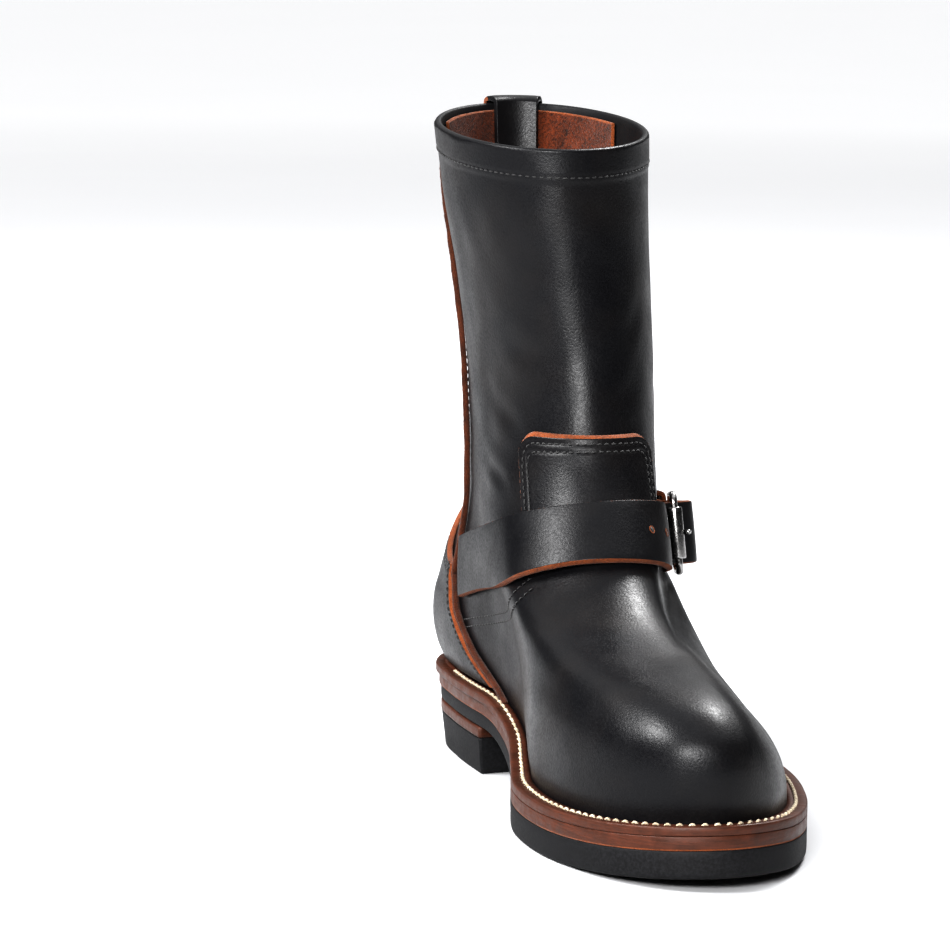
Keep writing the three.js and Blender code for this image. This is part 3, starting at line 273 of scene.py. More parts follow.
@dataclass(frozen=True)
class Last:
    """Driving sizes of the boot, and the curves and heights that follow from them."""

    sole_length: float = 302.0
    ball_width: float = 110.0
    shaft_height: float = 215.0
    heel_length: float = 92.0
    heel_block: float = 14.5
    heel_lift: float = 4.0
    heel_taper: float = 1.8
    heel_setback: float = 0.6
    breast_hollow: float = 3.0
    outsole_heel: float = 6.0
    outsole_fore: float = 10.0
    midsole: float = 4.7
    welt: float = 3.4
    welt_flare: float = 2.2
    midsole_flare: float = 0.8
    edge_round: float = 0.6
    gap: float = 0.3
    toe_spring: float = 5.0
    flat_start: float = 0.6
    flat_end: float = 0.72
    feather_heel: float = 4.6
    feather_fore: float = 7.6
    insole: float = 3.5
    wall: float = 2.4
    oval_half: float = 0.3036

    def waist(self, along: Array) -> Array:
        """Return 0 over the heel and 1 where the sole lies flat."""
        return smooth(self.heel_length, self.flat_start * self.sole_length, along)

    def heel_height(self) -> float:
        """Return the height of the heel's two layers."""
        return self.heel_block + self.heel_lift + self.gap

    def outsole_bottom(self, along: Array) -> Array:
        """Return the underside: the heel's height at the back, 0 under the ball, toe spring as t^2."""
        toe = np.maximum(0.0, (along / self.sole_length - self.flat_end) / (1.0 - self.flat_end))
        return (self.heel_height() + self.gap) * (1.0 - self.waist(along)) + self.toe_spring * toe * toe

    def outsole_top(self, along: Array) -> Array:
        """Return the height of the outsole's top."""
        return self.outsole_bottom(along) + mix(self.outsole_heel, self.outsole_fore, self.waist(along))

    def midsole_top(self, along: Array) -> Array:
        """Return the height of the midsole's top."""
        return self.outsole_top(along) + self.gap + self.midsole

    def feather_height(self, along: Array) -> Array:
        """Return the height at which the upper and the welt stand."""
        return self.midsole_top(along) + self.gap

    def welt_top(self, along: Array) -> Array:
        """Return the height of the welt's top."""
        return self.feather_height(along) + self.welt

    def feather_inset(self, along: Array) -> Array:
        """Return how far inside the sole's outline the upper stands."""
        share = smooth(self.heel_length, 0.65 * self.sole_length, along)
        return mix(self.feather_heel, self.feather_fore, share)

    def heel_share(self, along: Array) -> Array:
        """Return 1 over the heel and 0 from the ball on."""
        return 1.0 - self.waist(along)

    def outline(self, inset: Callable[[Array], Array]) -> Array:
        """Draw the sole's outline: a closed centripetal Catmull-Rom curve through OUTLINE.

        With knots t spaced by the square root of each chord, the curve is the usual pyramid of
        linear blends of four neighbouring points. Each point then moves square to the curve.

        Args:
            inset: Inward move in millimetres by place along the sole.

        Returns:
            Pairs of along and across in millimetres.
        """
        knots = OUTLINE * (self.sole_length, self.ball_width)
        p0, p1, p2, p3 = (np.roll(knots, shift, axis=0)[:, None] for shift in (1, 0, -1, -2))
        pairs = ((p0, p1), (p1, p2), (p2, p3))
        chords = [np.sqrt(np.linalg.norm(b - a, axis=-1, keepdims=True)) for a, b in pairs]
        t1, t2, t3 = np.cumsum(chords, axis=0)
        t = t1 + (t2 - t1) * (np.arange(24) / 24.0)[None, :, None]
        a1 = (t1 - t) / t1 * p0 + t / t1 * p1
        a2 = (t2 - t) / (t2 - t1) * p1 + (t - t1) / (t2 - t1) * p2
        a3 = (t3 - t) / (t3 - t2) * p2 + (t - t2) / (t3 - t2) * p3
        b1 = (t2 - t) / t2 * a1 + t / t2 * a2
        b2 = (t3 - t) / (t3 - t1) * a2 + (t - t1) / (t3 - t1) * a3
        points = ((t2 - t) / (t2 - t1) * b1 + (t - t1) / (t2 - t1) * b2).reshape(-1, 2)
        run = unit(np.roll(points, -1, axis=0) - np.roll(points, 1, axis=0))
        move = np.broadcast_to(inset(points[:, 0]), len(points))
        return points + np.stack([run[:, 1] * move, -run[:, 0] * move], axis=1)

    def shift(self) -> tuple[float, float]:
        """Return the move that puts the outline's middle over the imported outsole's middle."""
        low, high = np.array(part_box("outsole")) / MM
        plan = self.outline(lambda along: 0.0 * along)
        side = (low[0] + high[0] - plan[:, 1].min() - plan[:, 1].max()) / 2.0
        ahead = (low[1] + high[1]) / 2.0 - (self.sole_length - plan[:, 0].min() - plan[:, 0].max()) / 2.0
        return float(side), float(ahead)

    def place(self, along: Array, across: Array, height: Array) -> Array:
        """Put points given by along, across and height in the boot's own frame."""
        side, ahead = SHIFT
        spots = np.broadcast_arrays(across + side, self.sole_length / 2.0 - along + ahead, height)
        return np.stack(spots, axis=-1)

    def section(self, level: float) -> dict[str, float]:
        """Read the section at a level from 0 to 1 by a uniform Catmull-Rom blend of four rows."""
        last = len(SECTIONS) - 1
        at = min(int(level * last), last - 1)
        t = level * last - at
        p0, p1, p2, p3 = SECTIONS[np.clip(np.arange(at - 1, at + 3), 0, last)]
        bend = (2 * p0 - 5 * p1 + 4 * p2 - p3) * t * t + (3 * p1 - p0 - 3 * p2 + p3) * t ** 3
        return dict(zip(COLUMNS, 0.5 * (2 * p1 + (p2 - p0) * t + bend)))

    def ring(self, level: float, count: int) -> Array:
        """Draw one ring of the upper: a blend of the sole's print and a superellipse.

        The superellipse is x = |cos a|^(2/n), y = |sin a|^(2/n) over the ring's length. The blend's
        heights run along the chord from back to front or follow the sole, and the ring is then
        turned about its middle.

        Args:
            level: Place from the feather line, 0, to the collar, 1.
            count: Number of points.

        Returns:
            The ring's points in millimetres.
        """
        row = self.section(level)
        feather = self.outline(self.feather_inset)
        heel = feather[:, 0].min()
        length = feather[:, 0].max() - heel
        back = heel + row["back"] * length
        reach = (row["front"] - row["back"]) * length

        def fullness(share: Array, outside: Array) -> Array:
            """Return the half width's factor, sloped away outside the toe and fuller at the heel seat."""
            outer = row["outer"] * (1.0 - row["slope"] * smooth(0.3, 0.85, share))
            seat = 1.0 + row["seat"] * (1.0 - smooth(0.15, 0.5, share))
            return np.where(outside, outer, row["inner"]) * seat

        share = (feather[:, 0] - heel) / length
        widened = feather[:, 1] * fullness(share, feather[:, 1] > 0)
        footprint = np.stack([back + share * reach, widened], axis=1)
        angle = np.linspace(0.0, 2.0 * math.pi, len(feather), endpoint=False)
        power = 2.0 / row["round"]
        share = (1.0 - np.sign(np.cos(angle)) * np.abs(np.cos(angle)) ** power) / 2.0
        side = np.sign(np.sin(angle)) * np.abs(np.sin(angle)) ** power
        middle = mix(row["back_across"], row["front_across"], share) * self.ball_width
        half = self.oval_half * self.ball_width * fullness(share, side > 0)
        oval = np.stack([back + share * reach, middle + side * half], axis=1)
        flat = mix(two_sides(oval, count), two_sides(footprint, count), row["print"])
        share = (flat[:, 0] - back) / reach
        chord = mix(self.feather_height(back), self.feather_height(back + reach), share)
        stand = row["stand"] * (self.gap + self.welt + self.edge_round)
        height = mix(chord, self.feather_height(flat[:, 0]), row["follow"]) + stand
        height = height + mix(row["back_rise"], row["front_rise"], share) * self.shaft_height
        across = (row["back_across"] + row["front_across"]) / 2.0 * self.ball_width
        centre = np.array([back + reach / 2.0, across])
        turn = math.radians(row["turn"])
        spin = np.array([[math.cos(turn), math.sin(turn)], [-math.sin(turn), math.cos(turn)]])
        turned = centre + (flat - centre) @ spin
        return self.place(turned[:, 0], turned[:, 1], height)


SHIFT = Last().shift()


class Sheet:
    """A smooth surface known at a grid of points and read anywhere between them."""

    def __init__(self, points: Array, wrap: bool, outside: Array) -> None:
        """Keep the grid, whose rows may wrap, and its directions, outward at the grid's middle."""
        self.points = points
        self.wrap = wrap
        self.rows = len(points) - 1
        self.columns = points.shape[1] - (0 if wrap else 1)
        if wrap:
            run = np.roll(points, -1, axis=1) - np.roll(points, 1, axis=1)
        else:
            run = np.gradient(points, axis=1)
        normals = unit(np.cross(run, np.gradient(points, axis=0)))
        middle = normals[len(points) // 2, points.shape[1] // 2]
        self.normals = normals * (1.0 if middle @ outside > 0.0 else -1.0)

    def read(self, grid: Array, u: Array, v: Array) -> Array:
        """Read a grid by Catmull-Rom weights on four columns and four rows.

        Args:
            grid: Values at the sheet's grid.
            u: Shares along the rows.
            v: Shares along the columns.

        Returns:
            Values at the places asked for.
        """
        across = (u % 1.0 if self.wrap else np.clip(u, 0.0, 1.0)) * self.columns
        up = np.clip(v, 0.0, 1.0) * self.rows
        i = np.minimum(np.floor(across).astype(int), self.columns - (0 if self.wrap else 1))
        j = np.minimum(np.floor(up).astype(int), self.rows - 1)
        total = 0.0
        for b, up_weight in zip((-1, 0, 1, 2), catmull_weights(up - j)):
            row = np.clip(j + b, 0, self.rows)
            for a, weight in zip((-1, 0, 1, 2), catmull_weights(across - i)):
                column = (i + a) % self.columns if self.wrap else np.clip(i + a, 0, self.columns)
                total = total + (weight * up_weight)[..., None] * grid[row, column]
        return total

    def at(self, u: Array, v: Array, lift: Array = 0.0) -> Array:
        """Return points on the sheet, lifted off it along its outward direction."""
        u, v, lift = np.broadcast_arrays(np.asarray(u, float), np.asarray(v, float), np.asarray(lift, float))
        return self.read(self.points, u, v) + self.out(u, v) * lift[..., None]

    def out(self, u: Array, v: Array) -> Array:
        """Return the outward directions at places on the sheet."""
        u, v = np.broadcast_arrays(np.asarray(u, float), np.asarray(v, float))
        return unit(self.read(self.normals, u, v))


def catmull_weights(t: Array) -> tuple[Array, Array, Array, Array]:
    """Return the four Catmull-Rom weights at a share t between the middle two points."""
    return (
        0.5 * (-t + 2.0 * t * t - t ** 3),
        0.5 * (2.0 - 5.0 * t * t + 3.0 * t ** 3),
        0.5 * (t + 4.0 * t * t - 3.0 * t ** 3),
        0.5 * (-t * t + t ** 3),
    )


class Skin(Sheet):
    """The outside of the upper: u runs around from the back over the outer side, v is the level."""

    ANKLE_LEVEL = 0.6875

    def __init__(self, last: Last, steps: int = 360, levels: int = 192) -> None:
        """Draw the rings, each of a number of steps, at each level from the feather line to the collar."""
        self.last = last
        rings = np.stack([last.ring(j / levels, steps) for j in range(levels + 1)])
        super().__init__(rings, True, np.array([0.0, -1.0, 0.0]))
        self.seat = float(last.feather_height(np.array(0.0)))
        ankle, collar = rings[int(levels * self.ANKLE_LEVEL)], rings[-1]
        closed = (np.vstack([ring, ring[:1]]) for ring in (ankle, collar))
        self.girth, self.collar_girth = (reach_along(ring)[-1] for ring in closed)

    def level(self, around: Array, share: Array) -> Array:
        """Find the level at which the upper stands at shares of the shaft, by halving the range 24 times."""
        around, share = np.broadcast_arrays(np.asarray(around, float), np.asarray(share, float))
        goal = self.seat + share * self.last.shaft_height
        low, high = np.zeros(around.shape), np.ones(around.shape)
        heights = self.points[..., 2:]
        for _ in range(24):
            middle = (low + high) / 2.0
            below = self.read(heights, around, middle)[..., 0] < goal
            low = np.where(below, middle, low)
            high = np.where(below, high, middle)
        return (low + high) / 2.0

    def seam(self, side: Side, level: Array) -> Array:
        """Return where a side seam stands at some levels, found by four corrections."""
        around = np.full(np.shape(level), 0.84 if side is Side.INNER else 0.16)
        for _ in range(4):
            height = (self.at(around, level)[..., 2] - self.seat) / self.last.shaft_height
            around = read_table(SEAM, side.value, height)
        return around

    def rim(self, around: Array) -> Array:
        """Return the collar's height over the heel seat in millimetres."""
        return self.at(around, 1.0)[..., 2] - self.seat

    def sewn(self, thread: "Thread", around: Array, level: Array, lift: float) -> Solid:
        """Sew a row of stitches over places on the upper, lifted off it."""
        return thread.sew(self.at(around, level, lift), self.out(around, level))


def edge_lines(length: float, bevel: float, count: int) -> Array:
    """Space lines along a length as shares of it, close together in the bevels at both ends."""
    near = np.array([0.0, 0.3, 0.6, 0.85, 1.0, 1.3, 1.8]) * bevel
    inner = np.linspace(2.4 * bevel, length - 2.4 * bevel, count)
    return np.concatenate([near, inner, length - near[::-1]]) / length


@dataclass(frozen=True)
class Cut:
    """How a piece of leather is cut: its size, thickness and sloped raw edge, in millimetres."""

    width: float
    height: float
    thickness: float
    bevel: float = 1.2
    columns: int = 60
    rows: int = 30
    fuzz: float = 0.1


def leather_panel(cut: Cut, place: Callable[[Array, Array, Array], Array],
                  relief: Optional[Callable[[Array, Array, Array], Array]] = None, seed: int = 3) -> Solid:
    """Make a panel with sloped raw edges: slot 0 is its grain side, slot 1 its raw edge and back.

    The lift is the thickness times 0.3 + 0.7 (d / bevel)^0.8 at a distance d from the edge, plus
    the relief, and the raw edge has a small seeded jitter.

    Args:
        cut: The panel's sizes.
        place: Point for shares across and up and a lift in millimetres.
        relief: Extra lift for the distance from the edge and the shares across and up.
        seed: Seed of the jitter.

    Returns:
        The closed mesh.
    """
    s, t = np.meshgrid(edge_lines(cut.width, cut.bevel, cut.columns),
                       edge_lines(cut.height, cut.bevel, cut.rows))
    edge = np.minimum(np.minimum(s, 1.0 - s) * cut.width, np.minimum(t, 1.0 - t) * cut.height)
    lift = cut.thickness * (0.3 + 0.7 * np.clip(edge / cut.bevel, 0.0, 1.0) ** 0.8)
    if relief is not None:
        lift = lift + relief(edge, s, t)
    jitter = np.random.default_rng(seed).normal(size=s.shape) * cut.fuzz
    lift = lift + jitter * (edge < cut.bevel * 0.95)
    over = place(s, t, lift)
    under = place(s, t, np.zeros_like(s))
    rows, columns = s.shape
    top = grid_faces(rows, columns, False)
    bottom = grid_faces(rows, columns, False, rows * columns)[:, ::-1]
    index = np.arange(rows * columns).reshape(rows, columns)
    rim = np.concatenate([index[0, :-1], index[:-1, -1], index[-1, :0:-1], index[:0:-1, 0]])
    after = np.roll(rim, -1)
    wall = np.stack([rim, rim + rows * columns, after + rows * columns, after], axis=1)
    raw = edge.ravel()[top].mean(axis=1) < cut.bevel * 0.98
    slots = np.concatenate([raw.astype(int), np.ones(len(bottom) + len(wall), int)])
    points = np.vstack([over.reshape(-1, 3), under.reshape(-1, 3)])
    return Solid(points, np.vstack([top, bottom, wall]), slots=slots).turned_out()


def groove(edge: Array, at: float, depth: float, width: float = 0.55) -> Array:
    """Press a stitch line into leather: -depth exp(-((d - at) / width)^2)."""
    return -depth * np.exp(-((edge - at) / width) ** 2)


@dataclass(frozen=True)
class Thread:
    """One row of stitches: its pitch, and a stitch's length, width and height in millimetres."""

    pitch: float = 2.6
    length: float = 1.9
    width: float = 0.62
    height: float = 0.42
    slant: float = 0.0
    sides: int = 6
    rings: int = 6

    def sew(self, path: Array, out: Array) -> Solid:
        """Lay stitches along a path: each is a grain of thread that dips into the leather at its ends.

        A stitch is the tube of points x = L t / 2, y = W r cos a / 2 and z = H r sin a / 2 +
        H (0.5 - 0.9 t^2) with r = sqrt(1 - t^4), for t from -1 to 1 and a all round.

        Args:
            path: Points of the row in millimetres.
            out: Outward directions at those points.

        Returns:
            All the stitches in one mesh.
        """
        reach = reach_along(path)
        count = max(int(reach[-1] / self.pitch), 1)
        goal = (np.arange(count) + 0.5) * reach[-1] / count
        half = self.length / 2.0
        middle = read_path(path, reach, goal)
        up = unit(read_path(out, reach, goal))
        ahead = unit(read_path(path, reach, goal + half) - read_path(path, reach, goal - half))
        side = unit(np.cross(up, ahead))
        cos, sin = math.cos(math.radians(self.slant)), math.sin(math.radians(self.slant))
        ahead, side = ahead * cos + side * sin, side * cos - ahead * sin
        t = np.linspace(-0.985, 0.985, self.rings)[:, None]
        angle = np.linspace(0.0, 2.0 * math.pi, self.sides, endpoint=False)[None, :]
        size = np.sqrt(1.0 - t ** 4)
        x = np.broadcast_to(half * t, (self.rings, self.sides))
        y = self.width / 2.0 * size * np.cos(angle)
        z = self.height / 2.0 * size * np.sin(angle) + self.height * (0.5 - 0.9 * t ** 2)
        grain = (middle[:, None, None] + x[None, ..., None] * ahead[:, None, None]
                 + y[None, ..., None] * side[:, None, None] + z[None, ..., None] * up[:, None, None])
        size_one = self.rings * self.sides
        ends = np.stack([grain[:, 0].mean(axis=1), grain[:, -1].mean(axis=1)], axis=1)
        points = np.concatenate([grain.reshape(count, size_one, 3), ends], axis=1)
        ring = np.arange(self.sides)
        far = ring + size_one - self.sides
        caps = np.vstack([fan(size_one, ring)[:, [0, 2, 1]], fan(size_one + 1, far)])
        starts = np.arange(count)[:, None, None] * (size_one + 2)
        quads = (grid_faces(self.rings, self.sides, True) + starts).reshape(-1, 4)
        return Solid(points.reshape(-1, 3), quads, (caps + starts).reshape(-1, 3)).turned_out()


def tube(path: Array, out: Array, profile: Array, closed: bool = False) -> Solid:
    """Carry a closed profile along a path, with its ends capped to their middle points.

    Args:
        path: Points of the path.
        out: Directions of the profile's second axis at those points.
        profile: Profile points, or one profile per path point, in millimetres.
        closed: Whether the path closes on itself.

    Returns:
        The closed mesh.
    """
    run = unit(np.roll(path, -1, axis=0) - np.roll(path, 1, axis=0) if closed else np.gradient(path, axis=0))
    side = unit(np.cross(run, out))
    up = unit(np.cross(side, run))
    profiles = np.broadcast_to(profile, (len(path),) + profile.shape[-2:])
    rings = path[:, None] + side[:, None] * profiles[..., :1] + up[:, None] * profiles[..., 1:]
    return ring_solid(rings, closed)


def round_profile(width: float, height: float, sides: int = 20, power: float = 1.0) -> Array:
    """Return a closed profile |x|^p + |y|^p = 1 with p = 2 / power, in millimetres."""
    angle = np.linspace(0.0, 2.0 * math.pi, sides, endpoint=False)
    x = np.sign(np.cos(angle)) * np.abs(np.cos(angle)) ** power
    y = np.sign(np.sin(angle)) * np.abs(np.sin(angle)) ** power
    return np.stack([x * width / 2.0, y * height / 2.0], axis=1)


class Nodes:
    """Adds nodes to one tree and joins them."""

    def __init__(self, tree: bpy.types.NodeTree) -> None:
        """Keep the tree."""
        self.tree = tree

    def node(self, kind: str, **inputs: object) -> bpy.types.Node:
        """Add a node and set or join its inputs by name.

        Args:
            kind: Blender's name of the node.
            inputs: Values or sockets by input name, with _ for a space.

        Returns:
            The node.
        """
        node = self.tree.nodes.new(kind)
        for key, value in inputs.items():
            title = key.replace("_", " ")
            if title in node.inputs:
                self.join(value, node.inputs[title])
            else:
                setattr(node, key, value)
        return node

    def join(self, value: object, socket: bpy.types.NodeSocket) -> None:
        """Join a socket to an input, or set its value."""
        if isinstance(value, bpy.types.NodeSocket):
            self.tree.links.new(value, socket)
        else:
            socket.default_value = value

    def ramp(self, value: bpy.types.NodeSocket, low: float, high: float, first: float = 0.0,
             last: float = 1.0, way: str = "LINEAR") -> bpy.types.NodeSocket:
        """Carry a range of a value onto another, clamped."""
        node = self.node("ShaderNodeMapRange", Value=value, interpolation_type=way)
        for key, number in (("From Min", low), ("From Max", high), ("To Min", first), ("To Max", last)):
            node.inputs[key].default_value = number
        return node.outputs["Result"]

    def scaled(self, value: object, factor: float) -> bpy.types.NodeSocket:
        """Return a value times a factor."""
        return self.sum(value, factor, "MULTIPLY")

    def sum(self, first: object, second: object, operation: str = "ADD") -> bpy.types.NodeSocket:
        """Join two values by a sum, or by another operation of the Math node."""
        node = self.node("ShaderNodeMath", operation=operation)
        self.join(first, node.inputs[0])
        self.join(second, node.inputs[1])
        return node.outputs[0]


class Paint(Nodes):
    """Adds nodes to one material and joins them."""

    def __init__(self, name: str) -> None:
        """Start a material of this name with an empty principled shader."""
        self.material = bpy.data.materials.new(name)
        self.material.use_nodes = True
        super().__init__(self.material.node_tree)
        self.shader = next(node for node in self.tree.nodes if node.type == "BSDF_PRINCIPLED")
        self.place = self.node("ShaderNodeTexCoord").outputs["Object"]

    def stretched(self, x: float, y: float, z: float) -> bpy.types.NodeSocket:
        """Return object coordinates scaled on each axis."""
        mapping = self.node("ShaderNodeMapping", Vector=self.place)
        mapping.inputs["Scale"].default_value = (x, y, z)
        return mapping.outputs["Vector"]

    def noise(self, scale: float, detail: float = 3.0, roughness: float = 0.55,
              place: Optional[bpy.types.NodeSocket] = None) -> bpy.types.NodeSocket:
        """Return a noise value from 0 to 1."""
        node = self.node("ShaderNodeTexNoise", Vector=place or self.place, Scale=scale, Detail=detail,
                         Roughness=roughness)
        return node.outputs["Fac"]

    def cells(self, scale: float, place: Optional[bpy.types.NodeSocket] = None) -> bpy.types.NodeSocket:
        """Return the distance to the nearest cell point, a pebbled pattern."""
        node = self.node("ShaderNodeTexVoronoi", feature="SMOOTH_F1", Vector=place or self.place,
                         Scale=scale)
        return node.outputs["Distance"]

    def blend(self, share: bpy.types.NodeSocket, first: object, second: object) -> bpy.types.NodeSocket:
        """Mix two colours by a share."""
        node = self.node("ShaderNodeMix", data_type="RGBA")
        self.join(share, node.inputs[0])
        for value, socket in ((first, node.inputs[6]), (second, node.inputs[7])):
            self.join((*value, 1.0) if isinstance(value, tuple) else value, socket)
        return node.outputs[2]

    def bump(self, height: bpy.types.NodeSocket, depth: float, strength: float = 1.0,
             below: Optional[bpy.types.NodeSocket] = None) -> bpy.types.NodeSocket:
        """Raise the surface by a height value times a depth in millimetres."""
        node = self.node("ShaderNodeBump", Height=height)
        node.inputs["Strength"].default_value = strength
        node.inputs["Distance"].default_value = depth * MM
        if below is not None:
            self.join(below, node.inputs["Normal"])
        return node.outputs["Normal"]

    def finish(self, **inputs: object) -> bpy.types.Material:
        """Set the shader's inputs and return the material."""
        for key, value in inputs.items():
            socket = self.shader.inputs[key.replace("_", " ")]
            self.join((*value, 1.0) if isinstance(value, tuple) else value, socket)
        return self.material


@dataclass(frozen=True)
class GrainLeather:
    """Oiled black leather: fine pebbled grain, faint brown undertone and a soft waxy sheen."""

    name: str
    dark: tuple[float, float, float] = (0.0045, 0.0045, 0.0055)
    warm: tuple[float, float, float] = (0.009, 0.0078, 0.0078)
    pebble: float = 0.085
    smoothest: float = 0.31
    roughest: float = 0.43

    def material(self) -> bpy.types.Material:
        """Build the finish: two sizes of pebbles over slow unevenness, and worn warm patches."""
        paint = Paint(self.name)
        slow = paint.noise(26.0, 4.0)
        coarse = paint.cells(1150.0)
        fine = paint.cells(2600.0)
        pores = paint.noise(3400.0, 2.0)
        pebbles = paint.sum(coarse, paint.scaled(fine, 0.6))
        grain = paint.sum(pebbles, paint.scaled(pores, 0.35))
        colour = paint.blend(paint.ramp(slow, 0.45, 0.75), self.dark, self.warm)
        polish = paint.ramp(paint.noise(55.0, 5.0, 0.6), 0.3, 0.7, self.smoothest, self.roughest)
        rough = paint.sum(polish, paint.ramp(coarse, 0.2, 0.7, -0.04, 0.06))
        below = paint.bump(slow, 0.5, 0.35)
        normal = paint.bump(grain, self.pebble, 0.55, below)
        return paint.finish(Base_Color=colour, Roughness=rough, Normal=normal, Specular_IOR_Level=0.22)


@dataclass(frozen=True)
class RawLeather:
    """Cut or flesh side of leather: short fuzzy fibres in orange and brown."""

    name: str
    light: tuple[float, float, float] = (0.27, 0.078, 0.022)
    deep: tuple[float, float, float] = (0.08, 0.022, 0.008)
    nap: float = 0.35
    speck: float = 1700.0

    def material(self) -> bpy.types.Material:
        """Build the finish: specks of fibre over blotches, no gloss, a little nap."""
        paint = Paint(self.name)
        specks = paint.noise(self.speck, 4.0, 0.7)
        blotch = paint.noise(160.0, 3.0)
        share = paint.ramp(paint.sum(specks, paint.scaled(blotch, 0.5)), 0.55, 1.0)
        colour = paint.blend(share, self.deep, self.light)
        normal = paint.bump(specks, self.nap, 0.9, paint.bump(blotch, 0.5, 0.4))
        rough = paint.ramp(specks, 0.3, 0.7, 0.82, 0.98)
        return paint.finish(Base_Color=colour, Roughness=rough, Normal=normal, Specular_IOR_Level=0.12,
                            Sheen_Weight=0.12, Sheen_Roughness=0.5)


@dataclass(frozen=True)
class SoleLeather:
    """Waxed brown edge of welt and midsole: fibres run along the edge in thin layers."""

    name: str
    light: tuple[float, float, float] = (0.085, 0.025, 0.0115)
    deep: tuple[float, float, float] = (0.035, 0.012, 0.006)

    def material(self) -> bpy.types.Material:
        """Build the finish: thin level layers, mottled stain and a burnished gloss."""
        paint = Paint(self.name)
        layers = paint.noise(1.0, 5.0, 0.65, paint.stretched(70.0, 70.0, 1500.0))
        mottle = paint.noise(240.0, 5.0, 0.65)
        share = paint.ramp(paint.sum(layers, paint.scaled(mottle, 0.7)), 0.6, 1.1)
        colour = paint.blend(share, self.deep, self.light)
        rough = paint.ramp(mottle, 0.3, 0.7, 0.34, 0.56)
        normal = paint.bump(layers, 0.25, 0.5, paint.bump(paint.noise(900.0, 4.0), 0.12, 0.5))
        return paint.finish(Base_Color=colour, Roughness=rough, Normal=normal, Specular_IOR_Level=0.28)


@dataclass(frozen=True)
class Rubber:
    """Black sole rubber, sanded at its sides or embossed with fine wavy dashes underneath."""

    name: str
    embossed: bool = False
    dark: tuple[float, float, float] = (0.004, 0.004, 0.0045)
    light: tuple[float, float, float] = (0.018, 0.018, 0.02)

    def material(self) -> bpy.types.Material:
        """Build the finish: sanding grain, or rows of wavy dashes whose way changes row by row."""
        paint = Paint(self.name)
        dust = paint.noise(950.0, 5.0, 0.7)
        colour = paint.blend(paint.ramp(dust, 0.4, 0.75), self.dark, self.light)
        normal = paint.bump(dust, 0.05, 0.7)
        if self.embossed:
            wave = paint.node("ShaderNodeTexWave", bands_direction="Y", Vector=paint.place, Scale=260.0,
                              Distortion=3.2, Detail=2.0)
            wave.inputs["Detail Scale"].default_value = 2.2
            lumps = paint.cells(620.0, paint.stretched(0.55, 1.0, 1.0))
            ridges = paint.sum(wave.outputs["Fac"], paint.scaled(lumps, 0.9), "SUBTRACT")
            away = paint.node("ShaderNodeVectorMath", operation="DISTANCE")
            paint.join(paint.place, away.inputs[0])
            paint.join((0.0, 0.026, 0.01), away.inputs[1])
            ridges = paint.sum(ridges, paint.ramp(away.outputs["Value"], 0.0165, 0.0172), "MULTIPLY")
            normal = paint.bump(ridges, 0.4, 0.9, normal)
            colour = paint.blend(paint.ramp(ridges, 0.1, 0.8), self.dark, (0.05, 0.05, 0.052))
        rough = paint.ramp(dust, 0.3, 0.7, 0.5, 0.72)
        return paint.finish(Base_Color=colour, Roughness=rough, Normal=normal, Specular_IOR_Level=0.2)


@dataclass(frozen=True)
class Yarn:
    """Waxed thread with the twist of its strands."""

    name: str
    light: tuple[float, float, float]
    deep: tuple[float, float, float]

    def material(self) -> bpy.types.Material:
        """Build the finish: fine strands across the stitch, darker between them."""
        paint = Paint(self.name)
        strands = paint.noise(2600.0, 3.0, 0.6)
        dirt = paint.noise(330.0, 3.0)
        colour = paint.blend(paint.ramp(paint.sum(strands, dirt), 0.75, 1.2), self.deep, self.light)
        return paint.finish(Base_Color=colour, Roughness=paint.ramp(strands, 0.3, 0.7, 0.5, 0.75),
                            Normal=paint.bump(strands, 0.12, 0.7), Sheen_Weight=0.15)


@dataclass(frozen=True)
class Plate:
    """Nickel plate over a cast buckle, lightly brushed by wear."""

    name: str = "nickel"
    colour: tuple[float, float, float] = (0.42, 0.415, 0.41)

    def material(self) -> bpy.types.Material:
        """Build the finish: cloudy polish and hair-fine scratches."""
        paint = Paint(self.name)
        cloud = paint.noise(420.0, 4.0)
        scratches = paint.noise(1.0, 3.0, 0.7, paint.stretched(2600.0, 300.0, 300.0))
        colour = paint.blend(paint.ramp(cloud, 0.35, 0.8), self.colour, (0.26, 0.255, 0.25))
        rough = paint.sum(paint.ramp(cloud, 0.3, 0.7, 0.14, 0.26), paint.ramp(scratches, 0.4, 0.7, 0.0, 0.1))
        normal = paint.bump(scratches, 0.02, 0.5)
        return paint.finish(Base_Color=colour, Metallic=1.0, Roughness=rough, Normal=normal)


@dataclass(frozen=True)
class Insock:
    """Smooth natural leather inside the boot."""

    name: str = "insole_leather"

    def material(self) -> bpy.types.Material:
        """Build the finish: pale tan with slow mottling and pores."""
        paint = Paint(self.name)
        mottle = paint.noise(90.0, 4.0)
        pores = paint.cells(1500.0)
        colour = paint.blend(paint.ramp(mottle, 0.3, 0.7), (0.36, 0.2, 0.1), (0.5, 0.31, 0.17))
        return paint.finish(Base_Color=colour, Roughness=paint.ramp(mottle, 0.3, 0.7, 0.55, 0.7),
                            Normal=paint.bump(pores, 0.1, 0.5))


